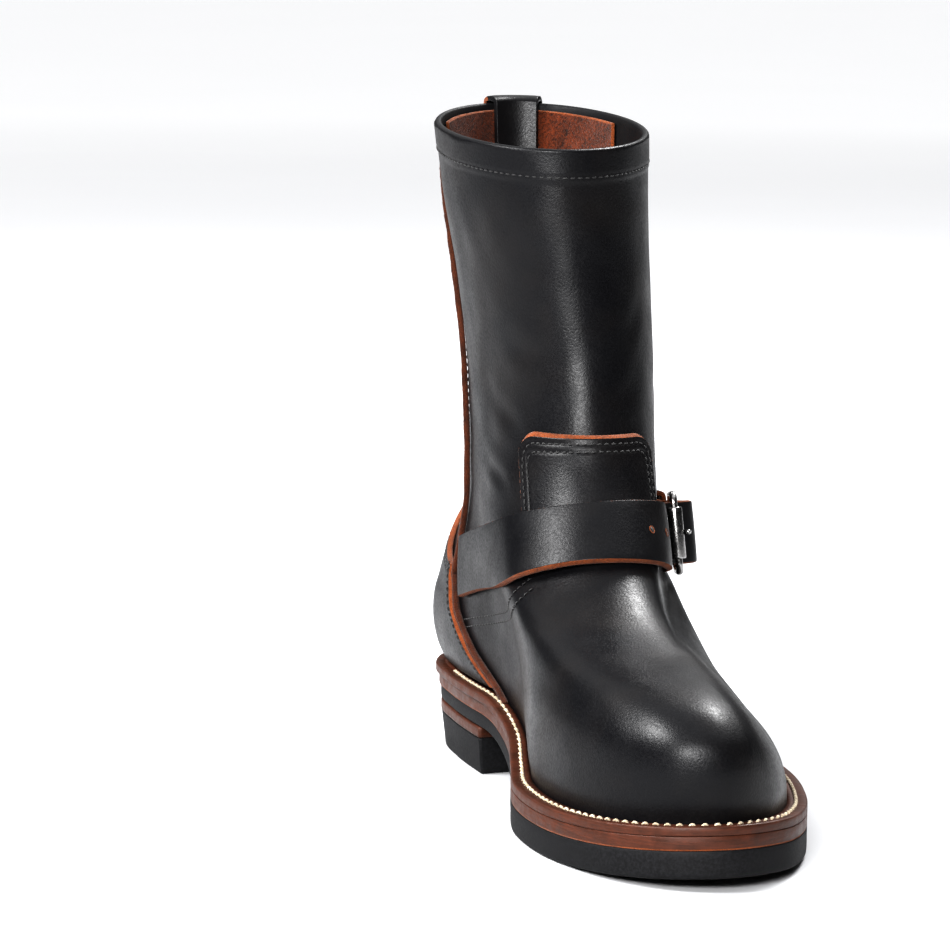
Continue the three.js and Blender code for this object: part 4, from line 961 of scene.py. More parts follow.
class Finishes:
    """Every material of the boot, built once."""

    def __init__(self) -> None:
        """Build the materials."""
        self.black = GrainLeather("black_leather").material()
        self.lining = GrainLeather("black_lining", smoothest=0.5, roughest=0.65).material()
        self.raw = RawLeather("seam_raw_edge", (0.1, 0.027, 0.01), (0.014, 0.005, 0.003)).material()
        self.edge = RawLeather("cut_edge").material()
        suede = RawLeather("rust_suede", (0.17, 0.038, 0.011), (0.016, 0.005, 0.0025), 1.1, 1000.0)
        self.suede = suede.material()
        self.brown = SoleLeather("brown_welt_leather").material()
        self.rubber = Rubber("black_rubber").material()
        self.tread = Rubber("embossed_rubber", True).material()
        self.cream = Yarn("cream_thread", (0.55, 0.48, 0.36), (0.26, 0.2, 0.13)).material()
        self.jet = Yarn("black_thread", (0.016, 0.015, 0.015), (0.004, 0.004, 0.004)).material()
        self.nickel = Plate().material()
        self.insole = Insock().material()
        self.panel = (self.black, self.edge)


@dataclass
class Bottom:
    """Sole, heel, welt and insole, each carried as a profile round the sole's outline."""

    last: Last
    finishes: Finishes
    steps: int = 720
    chamfer: float = 0.8
    stitch_inset: float = 5.0
    trim: float = 0.2

    def ring(self, inset: Callable[[Array], Array], height: Callable[[Array], Array]) -> Array:
        """Return one ring of points at an inset and a height, both by place along the sole."""
        plan = two_sides(self.last.outline(lambda a: inset(a) + self.trim), self.steps)
        return self.last.place(plan[:, 0], plan[:, 1], height(plan[:, 0]))

    def loft(self, profile: Sequence[tuple[float, float]], inset: Callable[[Array], Array],
             low: Callable[[Array], Array], high: Callable[[Array], Array]) -> Solid:
        """Carry a profile round the sole's outline and close both ends across.

        Args:
            profile: Pairs of inset in millimetres and height. A height of 0 or less counts up from
                the low surface by its size, and one above 0 counts down from the high surface.
            inset: Inset of the layer by place along the sole.
            low: Height of its underside.
            high: Height of its top.

        Returns:
            The closed mesh.
        """
        rings = [self.ring(lambda a, i=inward: inset(a) + i,
                           lambda a, d=drop: (high if d > 0.0 else low)(a) - d) for inward, drop in profile]
        half, start = self.steps // 2, (len(rings) - 1) * self.steps
        i = np.arange(1, half - 1)
        cap = np.stack([i, i + 1, self.steps - i - 1, self.steps - i], axis=1)
        ends = np.array([[0, 1, self.steps - 1], [half - 1, half, half + 1]])
        quads = np.vstack([grid_faces(len(rings), self.steps, True), cap[:, ::-1], cap + start])
        return Solid(np.vstack(rings), quads, np.vstack([ends[:, ::-1], ends + start])).turned_out()

    def build(self) -> None:
        """Build every layer from the floor up, then the stitches."""
        self.outsole()
        self.midsole()
        self.welt()
        self.heel()
        self.insole()
        self.stitches()

    def outsole(self) -> None:
        """Outsole with sanded sides, a chamfered foot and a stitch channel under its edge."""
        top = 0.001
        at = self.stitch_inset
        profile = [
            (at + 12.0, top), (2.0, top), (0.5, top), (0.12, 0.12), (0.0, 0.4), (0.0, 2.6), (0.0, -2.4),
            (0.1, -1.2), (0.3, -0.5), (self.chamfer, -0.1), (self.chamfer + 0.3, 0.0), (at - 0.9, 0.0),
            (at - 0.5, -0.35), (at, -0.5), (at + 0.5, -0.35), (at + 0.9, 0.0), (at + 12.0, 0.0),
        ]
        solid = self.loft(profile, lambda a: 0.0 * a, self.last.outsole_bottom, self.last.outsole_top)
        walls = (len(profile) - 1) * self.steps
        faces, cap = len(solid.quads), self.steps // 2 - 2
        solid.slots = np.zeros(faces + len(solid.tris), int)
        for first, end in ((10 * self.steps, walls), (walls + cap, faces), (faces + 2, faces + 4)):
            solid.slots[first:end] = 1
        materials = (self.finishes.rubber, self.finishes.tread)
        write_piece("outsole_body", solid, materials, ("outsole",))

    def midsole(self) -> None:
        """Midsole with a softly rounded, waxed edge."""
        last = self.last
        profile = [(12.0, 0.001), (0.35, 0.001), (0.1, 0.1), (0.0, 0.35), (0.0, 2.2), (0.0, -0.6),
                   (0.12, -0.15), (0.4, 0.0), (12.0, 0.0)]
        solid = self.loft(profile, lambda a: -last.midsole_flare * last.heel_share(a),
                          lambda a: last.outsole_top(a) + 0.02, lambda a: last.midsole_top(a) + 0.14)
        solid.slots = np.zeros(len(solid.quads) + len(solid.tris), int)
        solid.slots[5 * self.steps:7 * self.steps] = 1
        materials = (self.finishes.brown, self.finishes.edge)
        write_piece("midsole_body", solid, materials, ("midsole",))

    def welt(self) -> None:
        """Welt: a ring with a rounded lip and a pressed channel under the stitches."""
        last = self.last
        foot = ((1.0, 0.0), (0.05, 0.0), (0.012, 0.1), (0.0, 0.35), (0.0, 1.8))
        top = ((0.0, 0.7), (0.03, 0.25), (0.1, 0.05), (0.2, 0.0), (0.44, 0.05), (0.52, 0.3), (0.6, 0.45),
               (0.68, 0.3), (0.76, 0.05), (1.0, 0.0))
        rings = [self.ring(self.welt_inset(share), lambda a, d=rise: last.feather_height(a) - 0.1 + d)
                 for share, rise in foot]
        rings += [self.ring(self.welt_inset(share), lambda a, d=drop: last.welt_top(a) - d)
                  for share, drop in top]
        solid = ring_solid(np.stack(rings), True)
        write_piece("welt_body", solid, (self.finishes.brown,), ("welt",))

    def welt_inset(self, share: float) -> Callable[[Array], Array]:
        """Return the inset of a line at a share of the way from the welt's edge to the upper."""
        last = self.last
        return lambda a: mix(-last.welt_flare * last.heel_share(a), last.feather_inset(a) - last.gap, share)

    def heel_ring(self, inset: float, height: float, count: int = 160) -> Array:
        """Return the heel's plan as a ring: the back of the outline, closed by a hollow breast line.

        The breast bows forward of the chord's middle by hollow (1 - b^2) for b from -1 to 1.

        Args:
            inset: Inset in millimetres.
            height: Height of the ring.
            count: Steps along each side.

        Returns:
            The ring's points.
        """
        last = self.last
        plan = last.outline(lambda a: 0.0 * a + inset)
        limit = last.heel_length - inset
        half = len(plan) // 2
        outer = plan[:half][plan[:half, 0] < limit]
        inner = plan[half:][plan[half:, 0] < limit]
        outer = spaced(outer, count)
        inner = spaced(np.vstack([inner, plan[:1]]), count)
        bow = np.linspace(-1.0, 1.0, 49)
        across = mix(outer[-1, 1], inner[0, 1], (bow + 1.0) / 2.0)
        breast = np.stack([limit - last.breast_hollow * (1.0 - bow * bow), across], axis=1)
        ring = np.vstack([outer[:-1], breast, inner[1:-1]])
        return last.place(ring[:, 0], ring[:, 1], height + 0.0 * ring[:, 0])

    def heel_layer(self, profile: Sequence[tuple[float, float]]) -> Solid:
        """Stack rings of the heel's plan, pairs of inset and height, and close both ends."""
        return ring_solid(np.stack([self.heel_ring(inset, height) for inset, height in profile]))

    def heel(self) -> None:
        """Heel block with a recessed foot, its raised border, spiral ridges and nails, and the lift."""
        last = self.last
        back, taper = last.heel_setback, last.heel_taper

        def side(height: float) -> float:
            """Return the block's inset at a height."""
            return back + taper * (1.0 - height / last.heel_block)

        recess = 0.5
        block = self.heel_layer([
            (side(0) + 7.2, recess), (side(0) + 7.0, recess), (side(0) + 6.6, 0.05), (side(0) + 6.4, 0.0),
            (side(0) + 0.9, 0.0), (side(0) + 0.3, 0.12), (side(0), 0.6), (side(5), 5.0), (side(10), 10.0),
            (side(13.8), 13.8), (side(14.3) + 0.1, 14.3), (side(14.5) + 0.6, last.heel_block),
        ])
        middle = last.place(np.array([last.heel_length * 0.5]), np.array([1.2]), np.array([recess]))[0]
        turn = np.linspace(0.35, 1.0, 520)
        angle = turn * 2.0 * math.pi * 6.5
        radius = 17.5 * turn
        ridges = []
        for phase in (0.0, math.pi):
            x, y = radius * np.cos(angle + phase), 1.35 * radius * np.sin(angle + phase)
            spiral = middle + np.stack([x, y, 0.0 * angle], axis=1)
            spiral[:, 2] = recess - 0.2
            down = np.broadcast_to([0.0, 0.0, -1.0], spiral.shape)
            ridges.append(tube(spiral, down, round_profile(1.1, 0.55, 8)))
        solid = Solid.joined([block] + ridges)
        write_piece("heel_block_body", solid, (self.finishes.rubber,), ("heel_block",))
        lift_side = back / 2.0
        low, high = last.heel_block + last.gap * 0.5, last.heel_height() + 0.1
        lift = self.heel_layer([(lift_side + inward, height) for inward, height in (
            (8.0, low), (0.5, low), (0.1, low + 0.3), (0.0, low + 1.0), (0.0, high - 0.9), (0.1, high - 0.3),
            (0.5, high), (8.0, high))])
        write_piece("heel_lift_body", lift, (self.finishes.brown,), ("heel_lift",))
        self.nails(side(0) + 12.0)

    def nails(self, inset: float) -> None:
        """Set eleven nail heads in a U round the heel's foot, at an inset in millimetres."""
        ring = self.heel_ring(inset, 0.42, 80)
        heads = []
        for spot in spaced(np.vstack([ring[-79:], ring[:81]]), 10):
            path = spot + np.array([[0.0, 0.0, 0.5], [0.0, 0.0, 0.12], [0.0, 0.0, 0.0], [0.0, 0.0, -0.1]])
            profile = round_profile(1.0, 1.0, 14) * np.array([2.0, 2.0, 1.7, 0.5])[:, None, None]
            heads.append(tube(path, np.broadcast_to([1.0, 0.0, 0.0], path.shape), profile))
        write_piece("heel_nails", Solid.joined(heads), (self.finishes.nickel,))

    def insole(self) -> None:
        """Insole with a rounded upper edge."""
        last = self.last
        profile = [(1.2, 0.001), (0.35, 0.25), (0.0, 1.0), (0.0, -0.4), (0.3, 0.0)]
        solid = self.loft(profile, lambda a: last.feather_inset(a) + last.wall + 2.0 * last.gap,
                          last.feather_height, lambda a: last.feather_height(a) + last.insole)
        write_piece("insole_body", solid, (self.finishes.insole,), ("insole",))

    def edge_row(self, name: str, thread: "Thread", inset: Callable[[Array], Array],
                 height: Callable[[Array], Array], start: float, up: float) -> None:
        """Sew a cream row round the sole ahead of a place.

        Args:
            name: Name of the piece.
            thread: The row's stitches.
            inset: Inset of the row by place along the sole.
            height: Height of the row.
            start: Place where it begins on both sides.
            up: 1 for a row seen from above, -1 from below.
        """
        plan = two_sides(self.last.outline(inset), 1400)
        plan = plan[plan[:, 0] > start]
        path = self.last.place(plan[:, 0], plan[:, 1], height(plan[:, 0]))
        row = thread.sew(path, np.broadcast_to([0.0, 0.0, up], path.shape))
        write_piece(name, row, (self.finishes.cream,))

    def stitches(self) -> None:
        """Sew the welt, and the outsole in its channel under the forefoot."""
        last = self.last
        thread = Thread(pitch=4.4, length=3.1, width=1.3, height=1.05, slant=14.0, sides=8, rings=8)
        self.edge_row("welt_stitches", thread, self.welt_inset(0.6),
                      lambda a: last.welt_top(a) - 0.25, last.heel_length * 0.55, 1.0)
        thread = Thread(pitch=4.6, length=3.2, width=1.0, height=0.5, slant=10.0, sides=8, rings=8)
        self.edge_row("outsole_stitches", thread, lambda a: 0.0 * a + self.stitch_inset,
                      lambda a: last.outsole_bottom(a) + 0.55, last.heel_length + 4.0, -1.0)


@dataclass(frozen=True)
class Crease:
    """A fold pressed into the upper: where it lies, how it runs and how deep it is."""

    around: float
    height: float
    half: float
    angle: float
    depth: float
    width: float


CREASES = (
    Crease(0.52, 128.0, 26.0, 8.0, 0.5, 3.2),
    Crease(0.47, 150.0, 20.0, -14.0, 0.32, 3.8),
    Crease(0.58, 166.0, 24.0, 20.0, 0.3, 4.4),
    Crease(0.43, 178.0, 16.0, -28.0, 0.25, 3.5),
    Crease(0.66, 143.0, 22.0, 30.0, 0.4, 4.0),
    Crease(0.7, 120.0, 18.0, 24.0, 0.42, 3.2),
    Crease(0.02, 104.0, 24.0, 4.0, 0.5, 3.6),
    Crease(0.97, 116.0, 20.0, -8.0, 0.4, 3.4),
    Crease(0.04, 132.0, 18.0, 10.0, 0.3, 4.0),
    Crease(0.3, 128.0, 22.0, -22.0, 0.4, 3.8),
    Crease(0.26, 108.0, 14.0, -30.0, 0.35, 3.0),
    Crease(0.35, 152.0, 18.0, -16.0, 0.3, 4.2),
)
"""Soft folds of the shaft, heights in millimetres over the floor."""


@dataclass
class Shaft:
    """The upper with its wall, hem, side seams, lining and pull tab."""

    last: Last
    skin: Skin
    finishes: Finishes
    columns: int = 420
    rows: int = 150
    hem: float = 12.2
    hem_step: float = 0.45
    piping_width: float = 2.4
    piping_height: float = 2.2
    seam_bed: float = 0.4
    tab_width: float = 23.0
    tab_thickness: float = 2.0
    trim_gap: float = 0.8
    facing_thickness: float = 1.2

    def relief(self, around: Array, points: Array) -> Array:
        """Work out the upper's low relief: slow unevenness, folds, the hem's step and its stitch line.

        A fold is -depth exp(-(n / width)^2) times a window (1 - (a / half)^2)^2 along its run, with
        a lip of 0.4 of that on each side.

        Args:
            around: Places around.
            points: Points of the plain upper.

        Returns:
            Lifts in millimetres.
        """
        height = points[..., 2]
        lift = 0.16 * ripple(points, 46.0, 5) + 0.07 * ripple(points, 17.0, 8) * smooth(40.0, 110.0, height)
        for crease in CREASES:
            off = (around - crease.around + 0.5) % 1.0 - 0.5
            x, y = off * self.skin.girth, height - crease.height
            turn = math.radians(crease.angle)
            run = x * math.cos(turn) + y * math.sin(turn)
            side = y * math.cos(turn) - x * math.sin(turn) + 2.0 * np.sin(run / 9.0)
            window = np.clip(1.0 - (run / crease.half) ** 2, 0.0, 1.0) ** 2
            off = side / crease.width
            fold = np.exp(-off ** 2) - 0.4 * np.exp(-(np.abs(off) - 2.0) ** 2)
            lift = lift - crease.depth * fold * window
        below = self.skin.rim(around) + self.skin.seat - height
        lift = lift + self.hem_step * (1.0 - smooth(self.hem - 0.6, self.hem + 0.6, below))
        return lift + groove(below, self.hem - 1.5, 0.3, 0.5)

    def build(self) -> None:
        """Build the shell, the seams, the hem's stitches, the facing and the tab."""
        self.shell()
        self.seams()
        self.hem_stitches()
        self.facing()
        self.tab()

    def shell(self) -> None:
        """Upper's shell: outer skin, rounded rim and inner wall, closed under the insole."""
        around = np.arange(self.columns) / self.columns
        upper_rows = np.linspace(0.9, 0.985, 40)[1:]
        level = np.concatenate([np.linspace(0.0, 0.9, self.rows), upper_rows, [0.99, 0.994]])
        u, v = np.meshgrid(around, level)
        plain = self.skin.at(u, v)
        outer = self.skin.at(u, v, self.relief(u, plain) * smooth(0.05, 0.12, v))
        rim = self.skin.at(around, 1.0)
        turn = np.linspace(0.12, 0.88, 9)[:, None] * math.pi
        half = self.last.wall / 2.0
        middle = self.skin.at(around, 0.994, -half + self.hem_step / 2.0)
        out = self.skin.out(around, np.ones(self.columns))
        up = np.zeros(rim.shape)
        up[:, 2] = (rim - middle)[:, 2]
        bend = middle[None] + out[None] * ((half + self.hem_step / 2.0) * np.cos(turn))[..., None]
        bend = bend + up[None] * np.sin(turn)[..., None]
        u, v = np.meshgrid(around, np.linspace(0.99, 0.0, 110))
        inner = self.skin.at(u, v, -self.last.wall)
        inner[-1, :, 2] = outer[0, :, 2]
        rings = np.vstack([outer, bend, inner])
        solid = ring_solid(rings, True)
        solid.slots = np.repeat((np.arange(len(rings)) >= len(outer) + 6).astype(int), self.columns)
        materials = (self.finishes.black, self.finishes.lining)
        write_piece("upper_shell", solid, materials, ("upper",))

    def seam_path(self, side: Side, low: float, high: float, shift: float = 0.0) -> tuple[Array, Array]:
        """Return places around and levels along a side seam, moved sideways by a length in millimetres."""
        level = np.linspace(low, high, 620)
        return self.skin.seam(side, level) + shift / self.skin.girth, level

    def seams(self) -> None:
        """Raised raw piping on both sides, two cut edges side by side, and its row of stitches behind."""
        ridge = ((0.02, 0.8), (0.12, 0.98), (0.3, 1.0), (0.46, 0.8), (0.5, 0.45), (0.5, 0.0))
        profile = np.array([(-x, y) for x, y in ridge[::-1]] + list(ridge))
        profile = profile * (self.piping_width, self.piping_height)
        rng = np.random.default_rng(12)
        for side, behind in ((Side.INNER, 1.0), (Side.OUTER, -1.0)):
            name = f"side_piping_{side.name.lower()}"
            around, level = self.seam_path(side, 0.05, 0.985)
            path = self.skin.at(around, level, self.seam_bed)
            rough = 1.0 + rng.normal(size=(len(path), len(profile), 1)) * 0.018
            swell = 1.0 + 0.05 * ripple(path, 14.0, 4)[:, None, None]
            solid = tube(path, self.skin.out(around, level), profile[None] * rough * swell)
            write_piece(name + "_edge", solid, (self.finishes.raw,), (name,))
            around, level = self.seam_path(side, 0.085, 0.975, behind * 4.6)
            low = self.skin.at(around, level)[:, 2] < Trim.counter_line(self.skin, around)
            for part, keep, bed in (("low", low, self.trim_gap + 1.8), ("high", ~low, 0.1)):
                row = self.skin.sewn(Thread(pitch=2.9, length=2.1), around[keep], level[keep], bed)
                write_piece(f"{name}_stitches_{part}", row, (self.finishes.jet,))

    def hem_stitches(self) -> None:
        """A row of black stitches round the collar's hem."""
        around = np.linspace(0.0, 1.0, 900)
        level = self.skin.level(around, (self.skin.rim(around) - self.hem + 1.5) / self.last.shaft_height)
        row = self.skin.sewn(Thread(pitch=2.9, length=2.0, width=0.55), around, level, self.hem_step - 0.1)
        write_piece("hem_stitches", row, (self.finishes.jet,))

    def facing(self) -> None:
        """Rust suede facing inside the back of the collar, with a fuzzy upper edge."""
        bed = -(self.last.wall + self.trim_gap)
        width, drop = 0.34, 46.0
        cut = Cut(width * self.skin.collar_girth, drop, self.facing_thickness, 0.7, 120, 50, 0.16)

        def place(s: Array, t: Array, lift: Array) -> Array:
            """Place a point of the facing."""
            around = mix(-width / 2.0, width / 2.0, s)
            share = (self.skin.rim(around) - 3.0 - drop * (1.0 - t)) / self.last.shaft_height
            return self.skin.at(around, self.skin.level(around, share), bed - lift)

        solid = leather_panel(cut, place, lambda d, s, t: 0.1 * np.sin(s * 40.0) * np.sin(t * 19.0))
        materials = (self.finishes.suede, self.finishes.edge)
        write_piece("collar_facing", solid, materials, ("back_facing",))

    def tab(self) -> None:
        """Pull tab folded over the collar: its centre line is a U, and its sides are cut raw."""
        half = self.tab_width / 2.0
        out_lift = self.trim_gap + self.tab_thickness / 2.0
        in_lift = -(self.last.wall + self.facing_thickness + 2.0 * self.trim_gap + self.tab_thickness / 2.0)
        outside = np.stack([np.linspace(-24.0, 0.0, 30), np.full(30, out_lift)], axis=1)
        turn = np.linspace(0.0, math.pi, 26)[1:-1]
        middle, reach = (out_lift + in_lift) / 2.0, (out_lift - in_lift) / 2.0
        bend = np.stack([0.2 + reach * 0.45 * np.sin(turn), middle + reach * np.cos(turn)], axis=1)
        inside = np.stack([np.linspace(0.0, -30.0, 34), np.full(34, in_lift)], axis=1)
        route = np.vstack([outside, bend, inside])
        columns = np.linspace(-half, half, 9) / self.skin.collar_girth
        u, rise = np.meshgrid(columns, route[:, 0])
        lift = np.broadcast_to(route[:, 1:], u.shape)
        top = self.skin.rim(u)
        level = self.skin.level(u, (top + np.minimum(rise, 0.0)) / self.last.shaft_height)
        spots = self.skin.at(u, level, lift)
        spots[..., 2] = top + self.skin.seat + rise
        length = reach_along(spots[:, 4])[-1]
        sheet = Sheet(spots, False, np.array([0.0, 0.0, 1.0]))
        cut = Cut(self.tab_width, length, self.tab_thickness, 0.6, 30, 120, 0.05)
        solid = leather_panel(
            cut, lambda s, t, lift: sheet.at(s, t, lift - self.tab_thickness / 2.0),
            lambda d, s, t: -0.12 * (1 - smooth(0, 3, d)))
        across = solid.points[solid.quads].mean(axis=1)[:, 0]
        solid.slots[across > spots[..., 0].mean() - half * 0.9] = 0
        write_piece("pull_tab_strip", solid, self.finishes.panel, ("pull_tab",))


@dataclass
class Trim:
    """Leather laid on the upper: heel counter, instep guard and the small stitching on the vamp."""

    last: Last
    skin: Skin
    finishes: Finishes
    bed: float = 0.35
    counter_thickness: float = 2.2
    guard_thickness: float = 2.4
    guard_inner: float = 0.622
    guard_outer: float = 0.42
    guard_top: float = 0.5
    guard_tuck: float = 6.0
    guard_corner: float = 13.0
    counter_side: float = 0.215
    counter_back: float = 0.33
    piping_width: float = 3.9

    @staticmethod
    def counter_line(skin: Skin, around: Array) -> Array:
        """Return the height of the heel counter's top edge over the floor."""
        share = np.clip((((around + 0.5) % 1.0 - 0.5) + 0.13) / 0.26, 0.0, 1.0)
        top = mix(Trim.counter_side, Trim.counter_back, np.sin(math.pi * share) ** 2)
        return skin.seat + top * skin.last.shaft_height

    def build(self) -> None:
        """Build the counter, the guard and the vamp's stitches."""
        self.counter()
        self.guard()
        self.vamp_stitches()

    def counter(self) -> None:
        """Heel counter from seam to seam, its top edge a soft bow, with two rows of stitches."""
        low = 0.075
        margin = (self.piping_width / 2.0 + 0.9) / self.skin.girth

        def spot(s: Array, t: Array) -> tuple[Array, Array]:
            """Return the place around and the level of a spot on the counter."""
            top = mix(self.counter_side, self.counter_back, np.sin(math.pi * s) ** 2)
            level = mix(low, self.skin.level(mix(-0.13, 0.13, s), top), t)
            first = self.skin.seam(Side.INNER, level) + margin - 1.0
            return mix(first, self.skin.seam(Side.OUTER, level) - margin, s), level

        height = 56.0
        cut = Cut(165.0, height, self.counter_thickness, 1.0, 150, 60, 0.06)
        self.panel("heel_counter", cut, spot, lambda s, t: (1.0 - t) * height, (3.2, 6.4))
        s = np.linspace(0.03, 0.97, 500)
        top = self.bed + self.counter_thickness - 0.12
        self.rows("heel_counter_stitches", Thread(pitch=2.9, length=2.1), top,
                  [spot(s, np.full(500, 1.0 - inward / height)) for inward in (3.2, 6.4)])

    def panel(self, node: str, cut: Cut, spot: Callable[[Array, Array], tuple[Array, Array]],
              inside: Callable[[Array, Array], Array], rows: Sequence[float]) -> None:
        """Cut a panel laid on the upper, with a groove under each of its rows of stitches.

        Args:
            node: CAD node that it stands for.
            cut: The panel's sizes.
            spot: Place around and level for shares across and up.
            inside: Distance from the sewn edge for the same shares.
            rows: Distances of the rows from that edge.
        """
        depth = 0.25 if node == "heel_counter" else 0.3
        solid = leather_panel(cut, lambda s, t, lift: self.skin.at(*spot(s, t), self.bed + lift),
                              lambda d, s, t: sum(groove(inside(s, t), row, depth) for row in rows))
        write_piece(node + "_panel", solid, self.finishes.panel, (node,))

    def rows(self, name: str, thread: Thread, lift: float, paths: Sequence[tuple[Array, Array]]) -> None:
        """Sew rows of black stitches over places around and levels."""
        solid = Solid.joined([self.skin.sewn(thread, around, level, lift) for around, level in paths])
        write_piece(name, solid, (self.finishes.jet,))

    def guard(self) -> None:
        """Instep guard with rounded top corners and a double row of stitches inside its raw edge."""
        width = (self.guard_inner - self.guard_outer) * self.skin.girth
        height = 36.0

        def drop(s: Array) -> Array:
            """Return how far the round corners lower the top edge."""
            near = np.clip(1.0 - np.minimum(s, 1.0 - s) * width / self.guard_corner, 0.0, 1.0)
            return self.guard_corner * (1.0 - np.sqrt(1.0 - near * near))

        def spot(s: Array, t: Array) -> tuple[Array, Array]:
            """Return the place around and the level of a spot on the guard."""
            around = mix(self.guard_outer, self.guard_inner, s)
            low = read_table(STRAP_EDGES, 2, around) - self.guard_tuck / self.last.shaft_height
            high = self.guard_top - drop(s) / self.last.shaft_height
            return around, mix(self.skin.level(around, low), self.skin.level(around, high), t)

        def row(inward: float) -> tuple[Array, Array]:
            """Return a row of places inside the guard's edge, up one side, over the top and down."""
            corner, top = max(self.guard_corner - inward, 3.0), height - inward
            turn = np.linspace(0.0, math.pi / 2.0, 24)
            bend_x, bend_y = inward + corner * (1.0 - np.cos(turn)), top - corner * (1.0 - np.sin(turn))
            rise = np.linspace(0.0, top - corner, 60)
            over = np.linspace(inward + corner, width - inward - corner, 120)
            left, right = np.full(60, inward), np.full(60, width - inward)
            s = np.concatenate([left, bend_x, over, width - bend_x[::-1], right]) / width
            ys = np.concatenate([rise, bend_y, np.full(120, top), bend_y[::-1], rise[::-1]])
            return spot(s, np.clip(ys / (height - drop(s)), 0.0, 0.97))

        def inside(s: Array, t: Array) -> Array:
            """Return the distance from the sides and the top."""
            return np.minimum(np.minimum(s, 1.0 - s) * width, (1.0 - t) * height)

        cut = Cut(width, height, self.guard_thickness, 1.7, 110, 60, 0.1)
        self.panel("instep_guard", cut, spot, inside, (3.9, 7.0))
        top = self.bed + self.guard_thickness - 0.12
        self.rows("instep_guard_stitches", Thread(pitch=2.8, length=2.0), top,
                  [row(inward) for inward in (3.9, 7.0)])

    def vamp_stitches(self) -> None:
        """Two curved rows of stitches under the strap on the inner side."""
        knots = np.array(((0.62, 87.0), (0.66, 82.5), (0.7, 77.5), (0.75, 72.0), (0.8, 66.5), (0.86, 58.0)))
        t = np.linspace(0.0, 1.0, 160)
        steps = np.linspace(0.0, 1.0, len(knots))
        around, height = (np.polyval(np.polyfit(steps, knots[:, axis], 3), t) for axis in (0, 1))
        shares = [(height - shift - self.skin.seat) / self.last.shaft_height for shift in (0.0, 3.0)]
        self.rows("vamp_stitches_inner", Thread(pitch=2.7, length=1.9), 0.12,
                  [(around, self.skin.level(around, share)) for share in shares])


